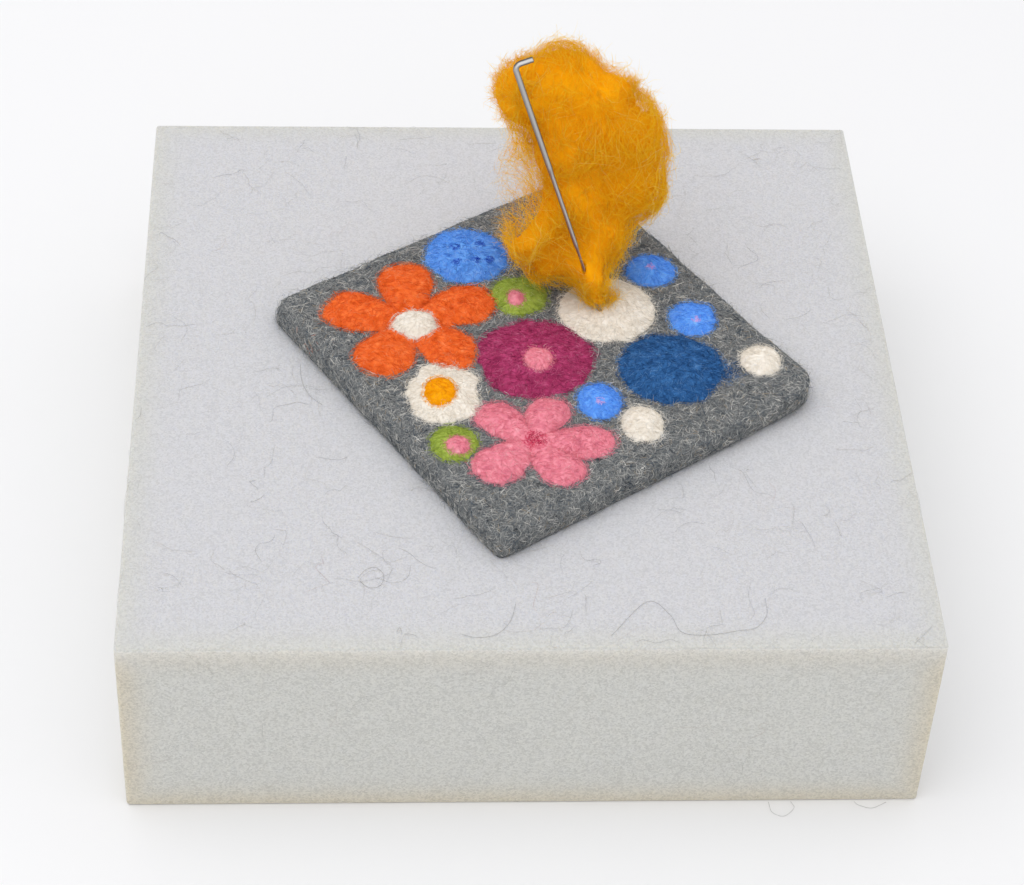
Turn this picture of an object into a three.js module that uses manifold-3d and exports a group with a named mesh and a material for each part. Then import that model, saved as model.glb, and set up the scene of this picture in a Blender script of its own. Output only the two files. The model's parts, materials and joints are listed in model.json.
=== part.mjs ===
// A needle felting mat in use: a cut foam block carries a felted wool square with needled wool
// flowers and dots, a loose tuft of yellow wool, and the felting needle that works it in.
// Millimetres, +Z up. The origin is the middle of the foam's underside, +Y points to the back.

import * as THREE from "three";
import { mergeVertices } from "three/addons/utils/BufferGeometryUtils.js";
import Module from "manifold-3d";

const wasm = await Module();
wasm.setup();

// Foam mat, cut from sheet foam
const FOAM_WIDTH = 200;
const FOAM_DEPTH = 204;
const FOAM_HEIGHT = 58;
const FOAM_CORNER = 1.2;
const FOAM_EDGE = 0.9;

// Felted wool square, laid askew on the foam
const FELT_WIDTH = 103;
const FELT_LENGTH = 106.5;
const FELT_THICKNESS = 7;
const FELT_CORNER = 7;
const FELT_EDGE = 2.6;
const FELT_X = 7.6;
const FELT_Y = 0.2;
const FELT_TURN = 33.2;

// Needled wool pads: every motif is laid on the felt, and a later one stops short of an earlier one
const PAD_SLOPE = 1.6;
const RIM_STEPS = [
  { inset: 0.12, rise: 0.45 },
  { inset: 0.45, rise: 0.85 },
  { inset: 1, rise: 1 },
];
const MOTIF_GAP = 0.4;
const DISC_HEIGHT = 2;
const DOT_HEIGHT = 1.6;
const PETAL_HEIGHT = 1.7;
const CENTRE_HEIGHT = 0.8;
const SPECK_HEIGHT = 0.5;
const PETAL_TAPER = 0.18;

// Plain discs and dots. Places on the felt are shares of its half width and half length from its middle
const BERRY_RADIUS = 15.4;
const BERRY_PLACE = [-0.134, -0.075];
const BERRY_CENTRE_RADIUS = 4.3;
const CREAM_RADIUS = 13;
const CREAM_PLACE = [0.402, 0.023];
const NAVY_RADIUS = 13.6;
const NAVY_PLACE = [0.39, -0.516];
const SKY_RADIUS = 11.6;
const SKY_PLACE = [0.035, 0.746];
const SKY_SPECK_RADIUS = 1.1;
const SKY_SPECKS = [
  { turn: 94, out: 0.6 },
  { turn: 16, out: 0.9 },
  { turn: 200, out: 0.5 },
  { turn: -70, out: 0.5 },
  { turn: -42, out: 0.9 },
];
const GREEN_BACK_RADIUS = 7.6;
const GREEN_BACK_PLACE = [0.078, 0.332];
const GREEN_BACK_CENTRE_RADIUS = 2.9;
const GREEN_FRONT_RADIUS = 6.4;
const GREEN_FRONT_PLACE = [-0.841, -0.362];
const GREEN_FRONT_CENTRE_RADIUS = 3.2;
const BLUE_DOT_RADIUS = 6.4;
const BLUE_DOT_CENTRE_RADIUS = 1.6;
const BLUE_DOTS = [
  { name: "blue_dot_back", place: [0.767, 0.124] },
  { name: "blue_dot_right", place: [0.722, -0.285] },
  { name: "blue_dot_front", place: [-0.06, -0.507] },
];
const WHITE_DOT_RADIUS = 5.7;
const WHITE_DOTS = [
  { name: "white_dot_right", place: [0.81, -0.706] },
  { name: "white_dot_front", place: [0.021, -0.746] },
];

// Daisy: a lobed white pad with a yellow heart
const DAISY_RADIUS = 9.6;
const DAISY_PLACE = [-0.687, -0.049];
const DAISY_LOBES = 5;
const DAISY_LOBE_DEPTH = 0.07;
const DAISY_CENTRE_RADIUS = 4.7;

// Five-petalled flowers: each petal has its turn, and its reach and width as shares of the flower's radius
const ORANGE_PLACE = [-0.503, 0.469];
const ORANGE_RADIUS = 24;
const ORANGE_CENTRE_RADIUS = 5.7;
const ORANGE_PETALS = [
  { turn: 61, reach: 0.983, width: 0.608 },
  { turn: 131, reach: 0.992, width: 0.625 },
  { turn: -151, reach: 0.95, width: 0.667 },
  { turn: -79, reach: 0.95, width: 0.608 },
  { turn: -7, reach: 1.008, width: 0.65 },
];
const PINK_PLACE = [-0.509, -0.541];
const PINK_RADIUS = 20;
const PINK_CENTRE_RADIUS = 2.9;
const PINK_PETALS = [
  { turn: 100, reach: 0.9, width: 0.62 },
  { turn: -167, reach: 0.965, width: 0.7 },
  { turn: -88, reach: 0.96, width: 0.63 },
  { turn: -35, reach: 1.08, width: 0.63 },
  { turn: 31, reach: 0.89, width: 0.58 },
];

// Felting needle: cranked shank, thinner middle and a three-sided barbed blade
const SHANK_DIAMETER = 1.5;
const SHANK_LENGTH = 31.4;
const MIDDLE_DIAMETER = 1.15;
const MIDDLE_LENGTH = 23.6;
const BLADE_DIAMETER = 0.75;
const BLADE_LENGTH = 34;
const SHANK_TAPER = 2.5;
const BLADE_TAPER = 3;
const TIP_TAPER = 3.2;
const FLANK_HOLLOW = 0.14;
const CRANK_LENGTH = 5;
const CRANK_BEND = 1.6;
const BARB_DEPTH = 0.1;
const BARB_LENGTH = 0.5;
const BARB_STEP = 2.1;
const BARB_ROWS = 3;
const BLADE_EDGES = 3;

// Where the needle stands: it pierces the cream disc off its middle, by shares of the disc's radius,
// and leans to the left and back
const ENTRY_OFFSET = [-0.223, 0.038];
const NEEDLE_LEAN_LEFT = 19.5;
const NEEDLE_LEAN_BACK = 11.6;
const CRANK_TURN = 8;
const TIP_DEPTH = 15;
const STAB_TRAVEL = 8;
const TRACK_CLEARANCE = 0.3;

// Loose wool tuft: a needled root on the cream disc and fluffed lobes that lean back behind the needle.
// The lobes' places from the needle's entry and their radii are shares of the tuft's height
const TUFT_HEIGHT = 64.6;
const ROOT_RADIUS = 5.6;
const ROOT_HEIGHT = 12;
const ROOT_WAIST = 0.82;
const TUFT_LOBES = [
  { place: [-0.031, 0.074, 0.139], radii: [0.099, 0.093, 0.115] },
  { place: [-0.085, 0.147, 0.161], radii: [0.133, 0.115, 0.136] },
  { place: [0.022, 0.17, 0.226], radii: [0.118, 0.105, 0.139] },
  { place: [-0.279, 0.192, 0.276], radii: [0.155, 0.13, 0.164] },
  { place: [-0.077, 0.254, 0.341], radii: [0.186, 0.146, 0.186] },
  { place: [0.115, 0.297, 0.418], radii: [0.164, 0.146, 0.176] },
  { place: [-0.099, 0.344, 0.557], radii: [0.195, 0.161, 0.201] },
  { place: [0.087, 0.375, 0.625], radii: [0.201, 0.164, 0.207] },
  { place: [-0.272, 0.396, 0.789], radii: [0.161, 0.139, 0.17] },
  { place: [-0.118, 0.424, 0.824], radii: [0.18, 0.149, 0.176] },
];

// Facets
const CORNER_STEPS = 5;
const EDGE_STEPS = 3;
const DISC_SIDES = 24;
const DOT_SIDES = 16;
const SPECK_SIDES = 10;
const WIRE_SIDES = 12;
const LOBE_SIDES = 14;
const LOBE_RINGS = 9;

const degrees = THREE.MathUtils.degToRad;
const feltTop = FELT_THICKNESS;

// A closed geometry as a solid, with its shared vertices merged and collapsed triangles dropped.
function solidOf(geometry) {
  const bare = geometry.clone();
  bare.deleteAttribute("normal");
  bare.deleteAttribute("uv");
  const merged = mergeVertices(bare, 1e-4);
  const corners = merged.index.array;
  const triVerts = [];
  for (let i = 0; i < corners.length; i += 3) {
    const [a, b, c] = corners.subarray(i, i + 3);
    if (a !== b && b !== c && c !== a) triVerts.push(a, b, c);
  }
  return new wasm.Manifold(
    new wasm.Mesh({
      numProp: 3,
      vertProperties: merged.attributes.position.array,
      triVerts: new Uint32Array(triVerts),
    }),
  );
}

// A solid back as a three.js geometry.
function geometryOf(solid) {
  const { vertProperties, triVerts } = solid.getMesh();
  const geometry = new THREE.BufferGeometry();
  geometry.setAttribute("position", new THREE.BufferAttribute(vertProperties, 3));
  geometry.setIndex(new THREE.BufferAttribute(triVerts, 1));
  geometry.computeVertexNormals();
  return geometry;
}

function namedMesh(name, geometry, material) {
  const mesh = new THREE.Mesh(geometry, material);
  mesh.name = name;
  return mesh;
}

function wool(colour) {
  return new THREE.MeshStandardMaterial({ color: colour, roughness: 0.95, metalness: 0 });
}

// A rectangle with round corners, centred on the origin.
function roundedRectangle(width, length, corner) {
  const x = width / 2 - corner;
  const y = length / 2 - corner;
  const shape = new THREE.Shape();
  shape.absarc(x, y, corner, 0, Math.PI / 2);
  shape.absarc(-x, y, corner, Math.PI / 2, Math.PI);
  shape.absarc(-x, -y, corner, Math.PI, 1.5 * Math.PI);
  shape.absarc(x, -y, corner, 1.5 * Math.PI, 2 * Math.PI);
  shape.closePath();
  return shape;
}

// A slab with rounded edges that stands on z = 0 and keeps the outline's full size at mid height.
// The rounding is limited by the slab's own height and corners.
function roundedSlab(width, length, height, corner, edge) {
  const round = Math.min(edge, 0.45 * height, 0.9 * corner);
  const slab = new THREE.ExtrudeGeometry(roundedRectangle(width, length, corner), {
    depth: height - 2 * round,
    bevelThickness: round,
    bevelSize: round,
    bevelOffset: -round,
    bevelSegments: EDGE_STEPS,
    curveSegments: CORNER_STEPS,
  });
  return slab.translate(0, 0, round);
}

// A solid of revolution about Z from [radius, z] pairs that start and end on the axis.
function turned(pairs, sides) {
  const profile = pairs.map(([radius, z]) => new THREE.Vector2(radius, z));
  return new THREE.LatheGeometry(profile, sides).rotateX(Math.PI / 2);
}

// Gives a round pad its outline: lobes round its rim, or a petal's length with a narrow inner end.
function shapeOutline(geometry, pad) {
  const half = pad.width / 2;
  const stretch = pad.length / pad.width;
  const at = geometry.attributes.position;
  for (let i = 0; i < at.count; i++) {
    const angle = Math.atan2(at.getY(i), at.getX(i));
    const swell = 1 + pad.lobeDepth * Math.cos(pad.lobes * angle);
    const along = at.getX(i) * swell;
    const across = at.getY(i) * swell * (1 + (pad.taper * along) / half);
    at.setXY(i, along * stretch, across);
  }
  return geometry.rotateZ(degrees(pad.turn)).translate(pad.centre[0], pad.centre[1], 0);
}

// How far a pad's rim slopes in before its crown is flat.
function rimSlope(radius, height) {
  return Math.min(PAD_SLOPE * height, radius / 2);
}

// A needled pad: flat below, a soft sloping rim, and a flat crown that a smaller pad can sit on.
function padGeometry(pad) {
  const radius = pad.width / 2;
  const slope = rimSlope(radius, pad.height);
  const rim = RIM_STEPS.map(({ inset, rise }) => [radius - inset * slope, rise * pad.height]);
  const profile = [[0, 0], [radius, 0], ...rim, [0, pad.height]];
  return shapeOutline(turned(profile, pad.sides), pad).translate(0, 0, pad.level);
}

// The straight-sided space that a pad claims, with the gap that a later pad keeps from it.
function claimedSpace(pad) {
  const grown = { ...pad, width: pad.width + 2 * MOTIF_GAP, length: pad.length + 2 * MOTIF_GAP };
  const radius = grown.width / 2;
  const profile = [
    [0, -pad.height],
    [radius, -pad.height],
    [radius, 2 * pad.height],
    [0, 2 * pad.height],
  ];
  return solidOf(shapeOutline(turned(profile, pad.sides), grown).translate(0, 0, pad.level));
}

const plainOutline = { turn: 0, taper: 0, lobes: 0, lobeDepth: 0, level: feltTop, sides: DOT_SIDES };

// A share of the felt's half width and half length, in millimetres from its middle.
function onFelt([across, along]) {
  return [(across * FELT_WIDTH) / 2, (along * FELT_LENGTH) / 2];
}

function roundPad(name, place, radius, height, colour, more = {}) {
  const size = { length: 2 * radius, width: 2 * radius, height };
  return { ...plainOutline, ...size, name, centre: onFelt(place), colour, ...more };
}

// A pad that sits on the crown of a taller one.
function crownPad(name, place, radius, height, colour, under) {
  return roundPad(name, place, radius, height, colour, { level: feltTop + under, sides: SPECK_SIDES });
}

// A place on the felt at a turn and distance from another.
function placeAt(centre, turn, distance) {
  const angle = degrees(turn);
  return [centre[0] + distance * Math.cos(angle), centre[1] + distance * Math.sin(angle)];
}

// The petals of one flower, each from just outside the heart to its own reach.
function petalPads(flower, place, radius, heartRadius, petals, colour) {
  return petals.map(({ turn, reach, width }, i) => {
    const inner = heartRadius + MOTIF_GAP;
    const outer = reach * radius;
    return {
      ...plainOutline,
      name: `${flower}_petal_${i + 1}`,
      centre: placeAt(onFelt(place), turn, (inner + outer) / 2),
      length: outer - inner,
      width: width * radius,
      height: PETAL_HEIGHT,
      taper: PETAL_TAPER,
      turn,
      colour,
    };
  });
}

const disc = { sides: DISC_SIDES };
const daisyRim = { sides: DISC_SIDES, lobes: DAISY_LOBES, lobeDepth: DAISY_LOBE_DEPTH };

// Pads on the felt itself, in the order in which they are laid
const motifs = [
  roundPad("orange_flower_centre", ORANGE_PLACE, ORANGE_CENTRE_RADIUS, PETAL_HEIGHT, "#edd7cc"),
  roundPad("pink_flower_centre", PINK_PLACE, PINK_CENTRE_RADIUS, PETAL_HEIGHT, "#c9446c"),
  roundPad("cream_disc", CREAM_PLACE, CREAM_RADIUS, DISC_HEIGHT, "#e4dcd0", disc),
  roundPad("berry_disc", BERRY_PLACE, BERRY_RADIUS, DISC_HEIGHT, "#a33f66", disc),
  roundPad("navy_disc", NAVY_PLACE, NAVY_RADIUS, DISC_HEIGHT, "#355981", disc),
  roundPad("sky_disc", SKY_PLACE, SKY_RADIUS, DISC_HEIGHT, "#5882c8", disc),
  ...petalPads("orange", ORANGE_PLACE, ORANGE_RADIUS, ORANGE_CENTRE_RADIUS, ORANGE_PETALS, "#e76529"),
  ...petalPads("pink", PINK_PLACE, PINK_RADIUS, PINK_CENTRE_RADIUS, PINK_PETALS, "#e78a96"),
  roundPad("daisy", DAISY_PLACE, DAISY_RADIUS, DOT_HEIGHT, "#d9d2c9", daisyRim),
  roundPad("green_dot_back", GREEN_BACK_PLACE, GREEN_BACK_RADIUS, DOT_HEIGHT, "#83a24d"),
  roundPad("green_dot_front", GREEN_FRONT_PLACE, GREEN_FRONT_RADIUS, DOT_HEIGHT, "#83a24d"),
  ...BLUE_DOTS.map(({ name, place }) => roundPad(name, place, BLUE_DOT_RADIUS, DOT_HEIGHT, "#5f94e7")),
  ...WHITE_DOTS.map(({ name, place }) => roundPad(name, place, WHITE_DOT_RADIUS, DOT_HEIGHT, "#f1e7d7")),
];

// Smaller pads on the crowns of those
const hearts = [
  crownPad("berry_disc_centre", BERRY_PLACE, BERRY_CENTRE_RADIUS, CENTRE_HEIGHT, "#ed7f92", DISC_HEIGHT),
  crownPad("daisy_centre", DAISY_PLACE, DAISY_CENTRE_RADIUS, CENTRE_HEIGHT, "#eb9e26", DOT_HEIGHT),
  crownPad(
    "green_dot_back_centre",
    GREEN_BACK_PLACE,
    GREEN_BACK_CENTRE_RADIUS,
    CENTRE_HEIGHT,
    "#ed7f92",
    DOT_HEIGHT,
  ),
  crownPad(
    "green_dot_front_centre",
    GREEN_FRONT_PLACE,
    GREEN_FRONT_CENTRE_RADIUS,
    CENTRE_HEIGHT,
    "#ed7f92",
    DOT_HEIGHT,
  ),
  ...BLUE_DOTS.map(({ name, place }) =>
    crownPad(`${name}_centre`, place, BLUE_DOT_CENTRE_RADIUS, SPECK_HEIGHT, "#c79ad6", DOT_HEIGHT),
  ),
  ...SKY_SPECKS.map(({ turn, out }, i) => {
    const reach = out * (SKY_RADIUS - rimSlope(SKY_RADIUS, DISC_HEIGHT) - SKY_SPECK_RADIUS);
    const name = `sky_speck_${i + 1}`;
    const pad = crownPad(name, SKY_PLACE, SKY_SPECK_RADIUS, SPECK_HEIGHT, "#2f53a8", DISC_HEIGHT);
    return { ...pad, centre: placeAt(pad.centre, turn, reach) };
  }),
];

// Frames: the work lies on the foam, turned with the felt, and the needle has its own tilted frame

const work = new THREE.Group();
work.position.set(FELT_X, FELT_Y, FOAM_HEIGHT);
work.rotation.z = degrees(FELT_TURN);
work.updateMatrix();

// The needle's axis passes through the cream disc's crown, at this point of the part's frame.
const creamCentre = onFelt(CREAM_PLACE);
const entry = new THREE.Vector3(
  creamCentre[0] + ENTRY_OFFSET[0] * CREAM_RADIUS,
  creamCentre[1] + ENTRY_OFFSET[1] * CREAM_RADIUS,
  feltTop + DISC_HEIGHT,
).applyMatrix4(work.matrix);

// The needle's own frame: +Z up its axis from the entry, +X along the crank.
function needleFrame() {
  const left = Math.tan(degrees(NEEDLE_LEAN_LEFT));
  const back = Math.tan(degrees(NEEDLE_LEAN_BACK));
  const up = new THREE.Vector3(-left, back, 1).normalize();
  const along = new THREE.Vector3(0, 1, 0).cross(up).normalize().applyAxisAngle(up, degrees(CRANK_TURN));
  const across = up.clone().cross(along);
  return new THREE.Matrix4().makeBasis(along, across, up).setPosition(entry);
}

const needlePose = needleFrame();

// A round passage about the needle's axis, between two heights along it.
function passage(radius, bottom, top) {
  const shape = new THREE.CylinderGeometry(radius, radius, top - bottom, WIRE_SIDES);
  return shape.rotateX(Math.PI / 2).translate(0, 0, (top + bottom) / 2);
}

const needleTop = BLADE_LENGTH + MIDDLE_LENGTH + SHANK_LENGTH - TIP_DEPTH;
const deepest = -(TIP_DEPTH + STAB_TRAVEL + TRACK_CLEARANCE);
const bladePassage = passage(BLADE_DIAMETER / 2 + TRACK_CLEARANCE, deepest, needleTop);
const bladeTrack = solidOf(bladePassage.applyMatrix4(needlePose));
const bladeTrackInWork = bladeTrack.transform(work.matrix.clone().invert().elements);

// Foam block
function foamBlock() {
  const slab = roundedSlab(FOAM_WIDTH, FOAM_DEPTH, FOAM_HEIGHT, FOAM_CORNER, FOAM_EDGE);
  const material = new THREE.MeshStandardMaterial({ color: "#d0d0d0", roughness: 0.9, metalness: 0 });
  return namedMesh("foam_block", geometryOf(solidOf(slab).subtract(bladeTrack)), material);
}

// Felt square, pierced by the needle
function feltBase() {
  const slab = roundedSlab(FELT_WIDTH, FELT_LENGTH, FELT_THICKNESS, FELT_CORNER, FELT_EDGE);
  return namedMesh("felt_base", geometryOf(solidOf(slab).subtract(bladeTrackInWork)), wool("#797a79"));
}

// Every motif, each cut back from the ones laid before it
function motifMeshes() {
  const claimed = [];
  const laid = motifs.map((pad) => {
    let solid = solidOf(padGeometry(pad));
    for (const space of claimed) solid = solid.subtract(space);
    claimed.push(claimedSpace(pad));
    if (pad.name === "cream_disc") solid = solid.subtract(bladeTrackInWork);
    return namedMesh(pad.name, geometryOf(solid), wool(pad.colour));
  });
  const raised = hearts.map((pad) => namedMesh(pad.name, padGeometry(pad), wool(pad.colour)));
  return [...laid, ...raised];
}

// Loose tuft, hollowed where the needle and its crank pass
function woolTuft() {
  const root = turned(
    [
      [0, 0],
      [ROOT_RADIUS, 0],
      [ROOT_RADIUS * ROOT_WAIST, ROOT_HEIGHT / 2],
      [ROOT_RADIUS, ROOT_HEIGHT],
      [0, ROOT_HEIGHT],
    ],
    DOT_SIDES,
  );
  let tuft = solidOf(root.translate(...entry));
  for (const { place, radii } of TUFT_LOBES) {
    const lobe = new THREE.SphereGeometry(1, LOBE_SIDES, LOBE_RINGS).rotateX(Math.PI / 2);
    lobe.scale(...radii).translate(...place).scale(TUFT_HEIGHT, TUFT_HEIGHT, TUFT_HEIGHT);
    tuft = tuft.add(solidOf(lobe.translate(...entry)));
  }
  const room = SHANK_DIAMETER / 2 + TRACK_CLEARANCE;
  const shaftSpace = passage(room, -2 * room, needleTop + room);
  const reach = CRANK_LENGTH + TRACK_CLEARANCE;
  const crankSpace = new THREE.BoxGeometry(reach, 2 * room, STAB_TRAVEL + 2 * room);
  crankSpace.translate(reach / 2, 0, needleTop - STAB_TRAVEL / 2);
  for (const space of [shaftSpace, crankSpace]) tuft = tuft.subtract(solidOf(space.applyMatrix4(needlePose)));
  return namedMesh("wool_tuft", geometryOf(tuft), wool("#de8d05"));
}

// Rings of the needle from the crank's end to its point: centre, direction, radius and three-sidedness.
function needleRings() {
  const shank = SHANK_DIAMETER / 2;
  const middle = MIDDLE_DIAMETER / 2;
  const blade = BLADE_DIAMETER / 2;
  const rings = [];
  const down = new THREE.Vector3(0, 0, -1);
  const bendStart = needleTop - CRANK_BEND;
  rings.push({ at: [CRANK_LENGTH, 0, needleTop], along: new THREE.Vector3(-1, 0, 0), radius: shank });
  for (let i = 0; i <= EDGE_STEPS * 2; i++) {
    const angle = (i / (EDGE_STEPS * 2)) * (Math.PI / 2);
    const at = [CRANK_BEND * (1 - Math.sin(angle)), 0, bendStart + CRANK_BEND * Math.cos(angle)];
    rings.push({ at, along: new THREE.Vector3(-Math.cos(angle), 0, -Math.sin(angle)), radius: shank });
  }
  const bladeTop = BLADE_LENGTH - TIP_DEPTH;
  const middleTop = bladeTop + MIDDLE_LENGTH;
  const stations = [
    [middleTop + SHANK_TAPER / 2, shank],
    [middleTop - SHANK_TAPER / 2, middle],
    [bladeTop + BLADE_TAPER / 2, middle],
    [bladeTop - BLADE_TAPER / 2, blade, 1],
    [TIP_TAPER - TIP_DEPTH, blade, 1],
    [TIP_TAPER / 3 - TIP_DEPTH, blade / 2, 1],
  ];
  for (const [z, radius, sided = 0] of stations) rings.push({ at: [0, 0, z], along: down, radius, sided });
  return rings;
}

// The needle's skin: rings of equal count joined in order, closed by the crank's end and the point.
function needleSkin() {
  const rings = needleRings();
  const points = [];
  const faces = [];
  const across = new THREE.Vector3(0, 1, 0);
  for (const { at, along, radius, sided = 0 } of rings) {
    const out = across.clone().cross(along);
    for (let k = 0; k < WIRE_SIDES; k++) {
      const angle = (2 * Math.PI * k) / WIRE_SIDES;
      const reach = radius * (1 - sided * FLANK_HOLLOW * (1 - Math.cos(BLADE_EDGES * angle)));
      const point = new THREE.Vector3(...at);
      point.addScaledVector(out, reach * Math.cos(angle)).addScaledVector(across, reach * Math.sin(angle));
      points.push(point);
    }
  }
  for (let r = 0; r + 1 < rings.length; r++) {
    for (let k = 0; k < WIRE_SIDES; k++) {
      const a = r * WIRE_SIDES + k;
      const b = r * WIRE_SIDES + ((k + 1) % WIRE_SIDES);
      faces.push(a, b, a + WIRE_SIDES, b, b + WIRE_SIDES, a + WIRE_SIDES);
    }
  }
  const crankEnd = points.push(new THREE.Vector3(...rings[0].at)) - 1;
  const point = points.push(new THREE.Vector3(0, 0, -TIP_DEPTH)) - 1;
  const lastRing = (rings.length - 1) * WIRE_SIDES;
  for (let k = 0; k < WIRE_SIDES; k++) {
    const next = (k + 1) % WIRE_SIDES;
    faces.push(crankEnd, next, k, point, lastRing + k, lastRing + next);
  }
  const skin = new THREE.BufferGeometry().setFromPoints(points);
  return skin.setIndex(faces);
}

// Needle with barbs notched into the three edges of its blade
function feltingNeedle() {
  let needle = solidOf(needleSkin());
  const firstBarb = TIP_TAPER + BARB_STEP - TIP_DEPTH;
  for (let edge = 0; edge < BLADE_EDGES; edge++) {
    for (let row = 0; row < BARB_ROWS; row++) {
      const notch = new THREE.BoxGeometry(2 * BARB_DEPTH, BLADE_DIAMETER, BARB_LENGTH);
      const z = firstBarb + (row + edge / BLADE_EDGES) * BARB_STEP;
      notch.translate(-BLADE_DIAMETER / 2, 0, z).rotateZ((2 * Math.PI * edge) / BLADE_EDGES);
      needle = needle.subtract(solidOf(notch));
    }
  }
  const steel = new THREE.MeshStandardMaterial({ color: "#8f9194", roughness: 0.35, metalness: 1 });
  const mesh = namedMesh("felting_needle", geometryOf(needle), steel);
  mesh.applyMatrix4(needlePose);
  return mesh;
}

const mat = new THREE.Group();
work.add(feltBase(), ...motifMeshes());
mat.add(foamBlock(), work, woolTuft(), feltingNeedle());

export default mat;
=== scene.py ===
"""A needle felting mat in use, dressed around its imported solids.

The foam block, the felt square, its needled wool motifs, the loose tuft and the needle are made here as
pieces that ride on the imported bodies. Lengths are metres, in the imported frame.
"""

import json
import math

import bpy
import numpy as np
from mathutils import Matrix, Vector, geometry, noise
from mathutils.bvhtree import BVHTree

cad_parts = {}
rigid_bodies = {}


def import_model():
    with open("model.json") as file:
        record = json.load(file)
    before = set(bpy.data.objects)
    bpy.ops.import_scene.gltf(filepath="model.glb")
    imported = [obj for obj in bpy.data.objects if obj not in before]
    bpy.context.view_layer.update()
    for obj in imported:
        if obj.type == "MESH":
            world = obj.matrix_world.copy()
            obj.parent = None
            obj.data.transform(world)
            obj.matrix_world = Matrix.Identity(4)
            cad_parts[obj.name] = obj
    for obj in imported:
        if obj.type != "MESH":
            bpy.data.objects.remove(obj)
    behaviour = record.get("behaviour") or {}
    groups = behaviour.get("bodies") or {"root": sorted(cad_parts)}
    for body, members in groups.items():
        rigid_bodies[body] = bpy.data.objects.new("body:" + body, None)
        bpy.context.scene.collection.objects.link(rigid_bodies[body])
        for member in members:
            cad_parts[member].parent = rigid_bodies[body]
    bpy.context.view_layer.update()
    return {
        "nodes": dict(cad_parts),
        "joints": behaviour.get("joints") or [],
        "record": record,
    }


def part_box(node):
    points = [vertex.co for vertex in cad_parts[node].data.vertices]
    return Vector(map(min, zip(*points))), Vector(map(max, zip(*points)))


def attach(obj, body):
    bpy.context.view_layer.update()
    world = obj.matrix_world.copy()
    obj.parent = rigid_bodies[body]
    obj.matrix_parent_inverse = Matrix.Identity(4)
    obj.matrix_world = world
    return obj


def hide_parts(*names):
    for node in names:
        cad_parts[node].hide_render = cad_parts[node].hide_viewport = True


bl_info = {
    "name": "Needle Felting Mat",
    "version": (1, 0, 0),
    "blender": (4, 5, 0),
    "location": "3D View > Sidebar > Felting",
    "description": "Dresses a packed needle felting mat in foam, felt, wool fibres and steel",
    "category": "Object",
}

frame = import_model()
MM = 0.001


def linear(hex_colour):
    """An sRGB hex colour as linear red, green, blue and alpha."""
    shares = [int(hex_colour[i : i + 2], 16) / 255 for i in (1, 3, 5)]
    return [s / 12.92 if s <= 0.04045 else ((s + 0.055) / 1.055) ** 2.4 for s in shares] + [1.0]


# Settings


def number_setting(name, description, default, **limits):
    """A number that a user may change, with its unit or its limits."""
    return bpy.props.FloatProperty(name=name, description=description, default=default, **limits)


def length_setting(name, description, default):
    """A length that a user may change, shown in the scene's units."""
    return number_setting(name, description, default, min=0, unit="LENGTH")


def colour_setting(name, description, hex_colour):
    """A colour that a user may change."""
    default = linear(hex_colour)
    kind = {"subtype": "COLOR", "size": 4, "min": 0, "max": 1}
    return bpy.props.FloatVectorProperty(name=name, description=description, default=default, **kind)


class FoamSettings(bpy.types.PropertyGroup):
    """The foam block and the stray fibres on it."""

    spacing: length_setting("Mesh spacing", "Distance between the block's mesh lines", 2.3 * MM)
    edge: length_setting("Edge rounding", "Radius of the sawn edges", 0.9 * MM)
    grain: length_setting("Grain depth", "How rough the sawn faces are", 0.04 * MM)
    cell: length_setting("Cell size", "Width of the foam's cells", 0.42 * MM)
    glow: length_setting("Edge glow", "How far light shines into the edges", 5.5 * MM)
    face: colour_setting("Top", "Foam on its upper face", "#d3d3d6")
    rim: colour_setting("Top edge", "Upper face near its edges, where light shines through", "#d2d2ce")
    crest: colour_setting("Crest", "Sides just below the upper face, where light shines through", "#e2e1dc")
    flank: colour_setting("Sides", "Foam on its sides", "#d6d6d1")
    flank_rim: colour_setting("Side edge", "Sides near their other edges, lit through", "#d8d1c0")
    hair: length_setting("Stray fibre", "Thickness of a stray wool fibre", 0.1 * MM)


class FeltSettings(bpy.types.PropertyGroup):
    """The felted square."""

    width: length_setting("Width", "Across the square", 103 * MM)
    length: length_setting("Length", "Along the square", 106.5 * MM)
    turn: number_setting("Turn", "How the square lies on the foam", math.radians(33.2), unit="ROTATION")
    shift: length_setting("Shift", "How far the felted square spread to its back, left edge", 1.2 * MM)
    edge: length_setting("Edge rounding", "Radius of the felted edge", 3.2 * MM)
    draw: length_setting("Draw", "How far the front corner is drawn out along both edges", 1.6 * MM)
    foot: length_setting("Foot", "How much of the lower edge's rounding is pressed flat", 2 * MM)
    curl: length_setting("Curl", "How far the right corner curls up", 1.6 * MM)
    spacing: length_setting("Mesh spacing", "Distance between the square's mesh lines", 1.3 * MM)
    lump: length_setting("Lumps", "Height of the felt's unevenness", 0.45 * MM)
    fibre: length_setting("Fibre length", "Usual length of a surface fibre", 2.5 * MM)
    fibre_width: length_setting("Fibre width", "Drawn thicker than wool, so that it shows", 0.1 * MM)


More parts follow.
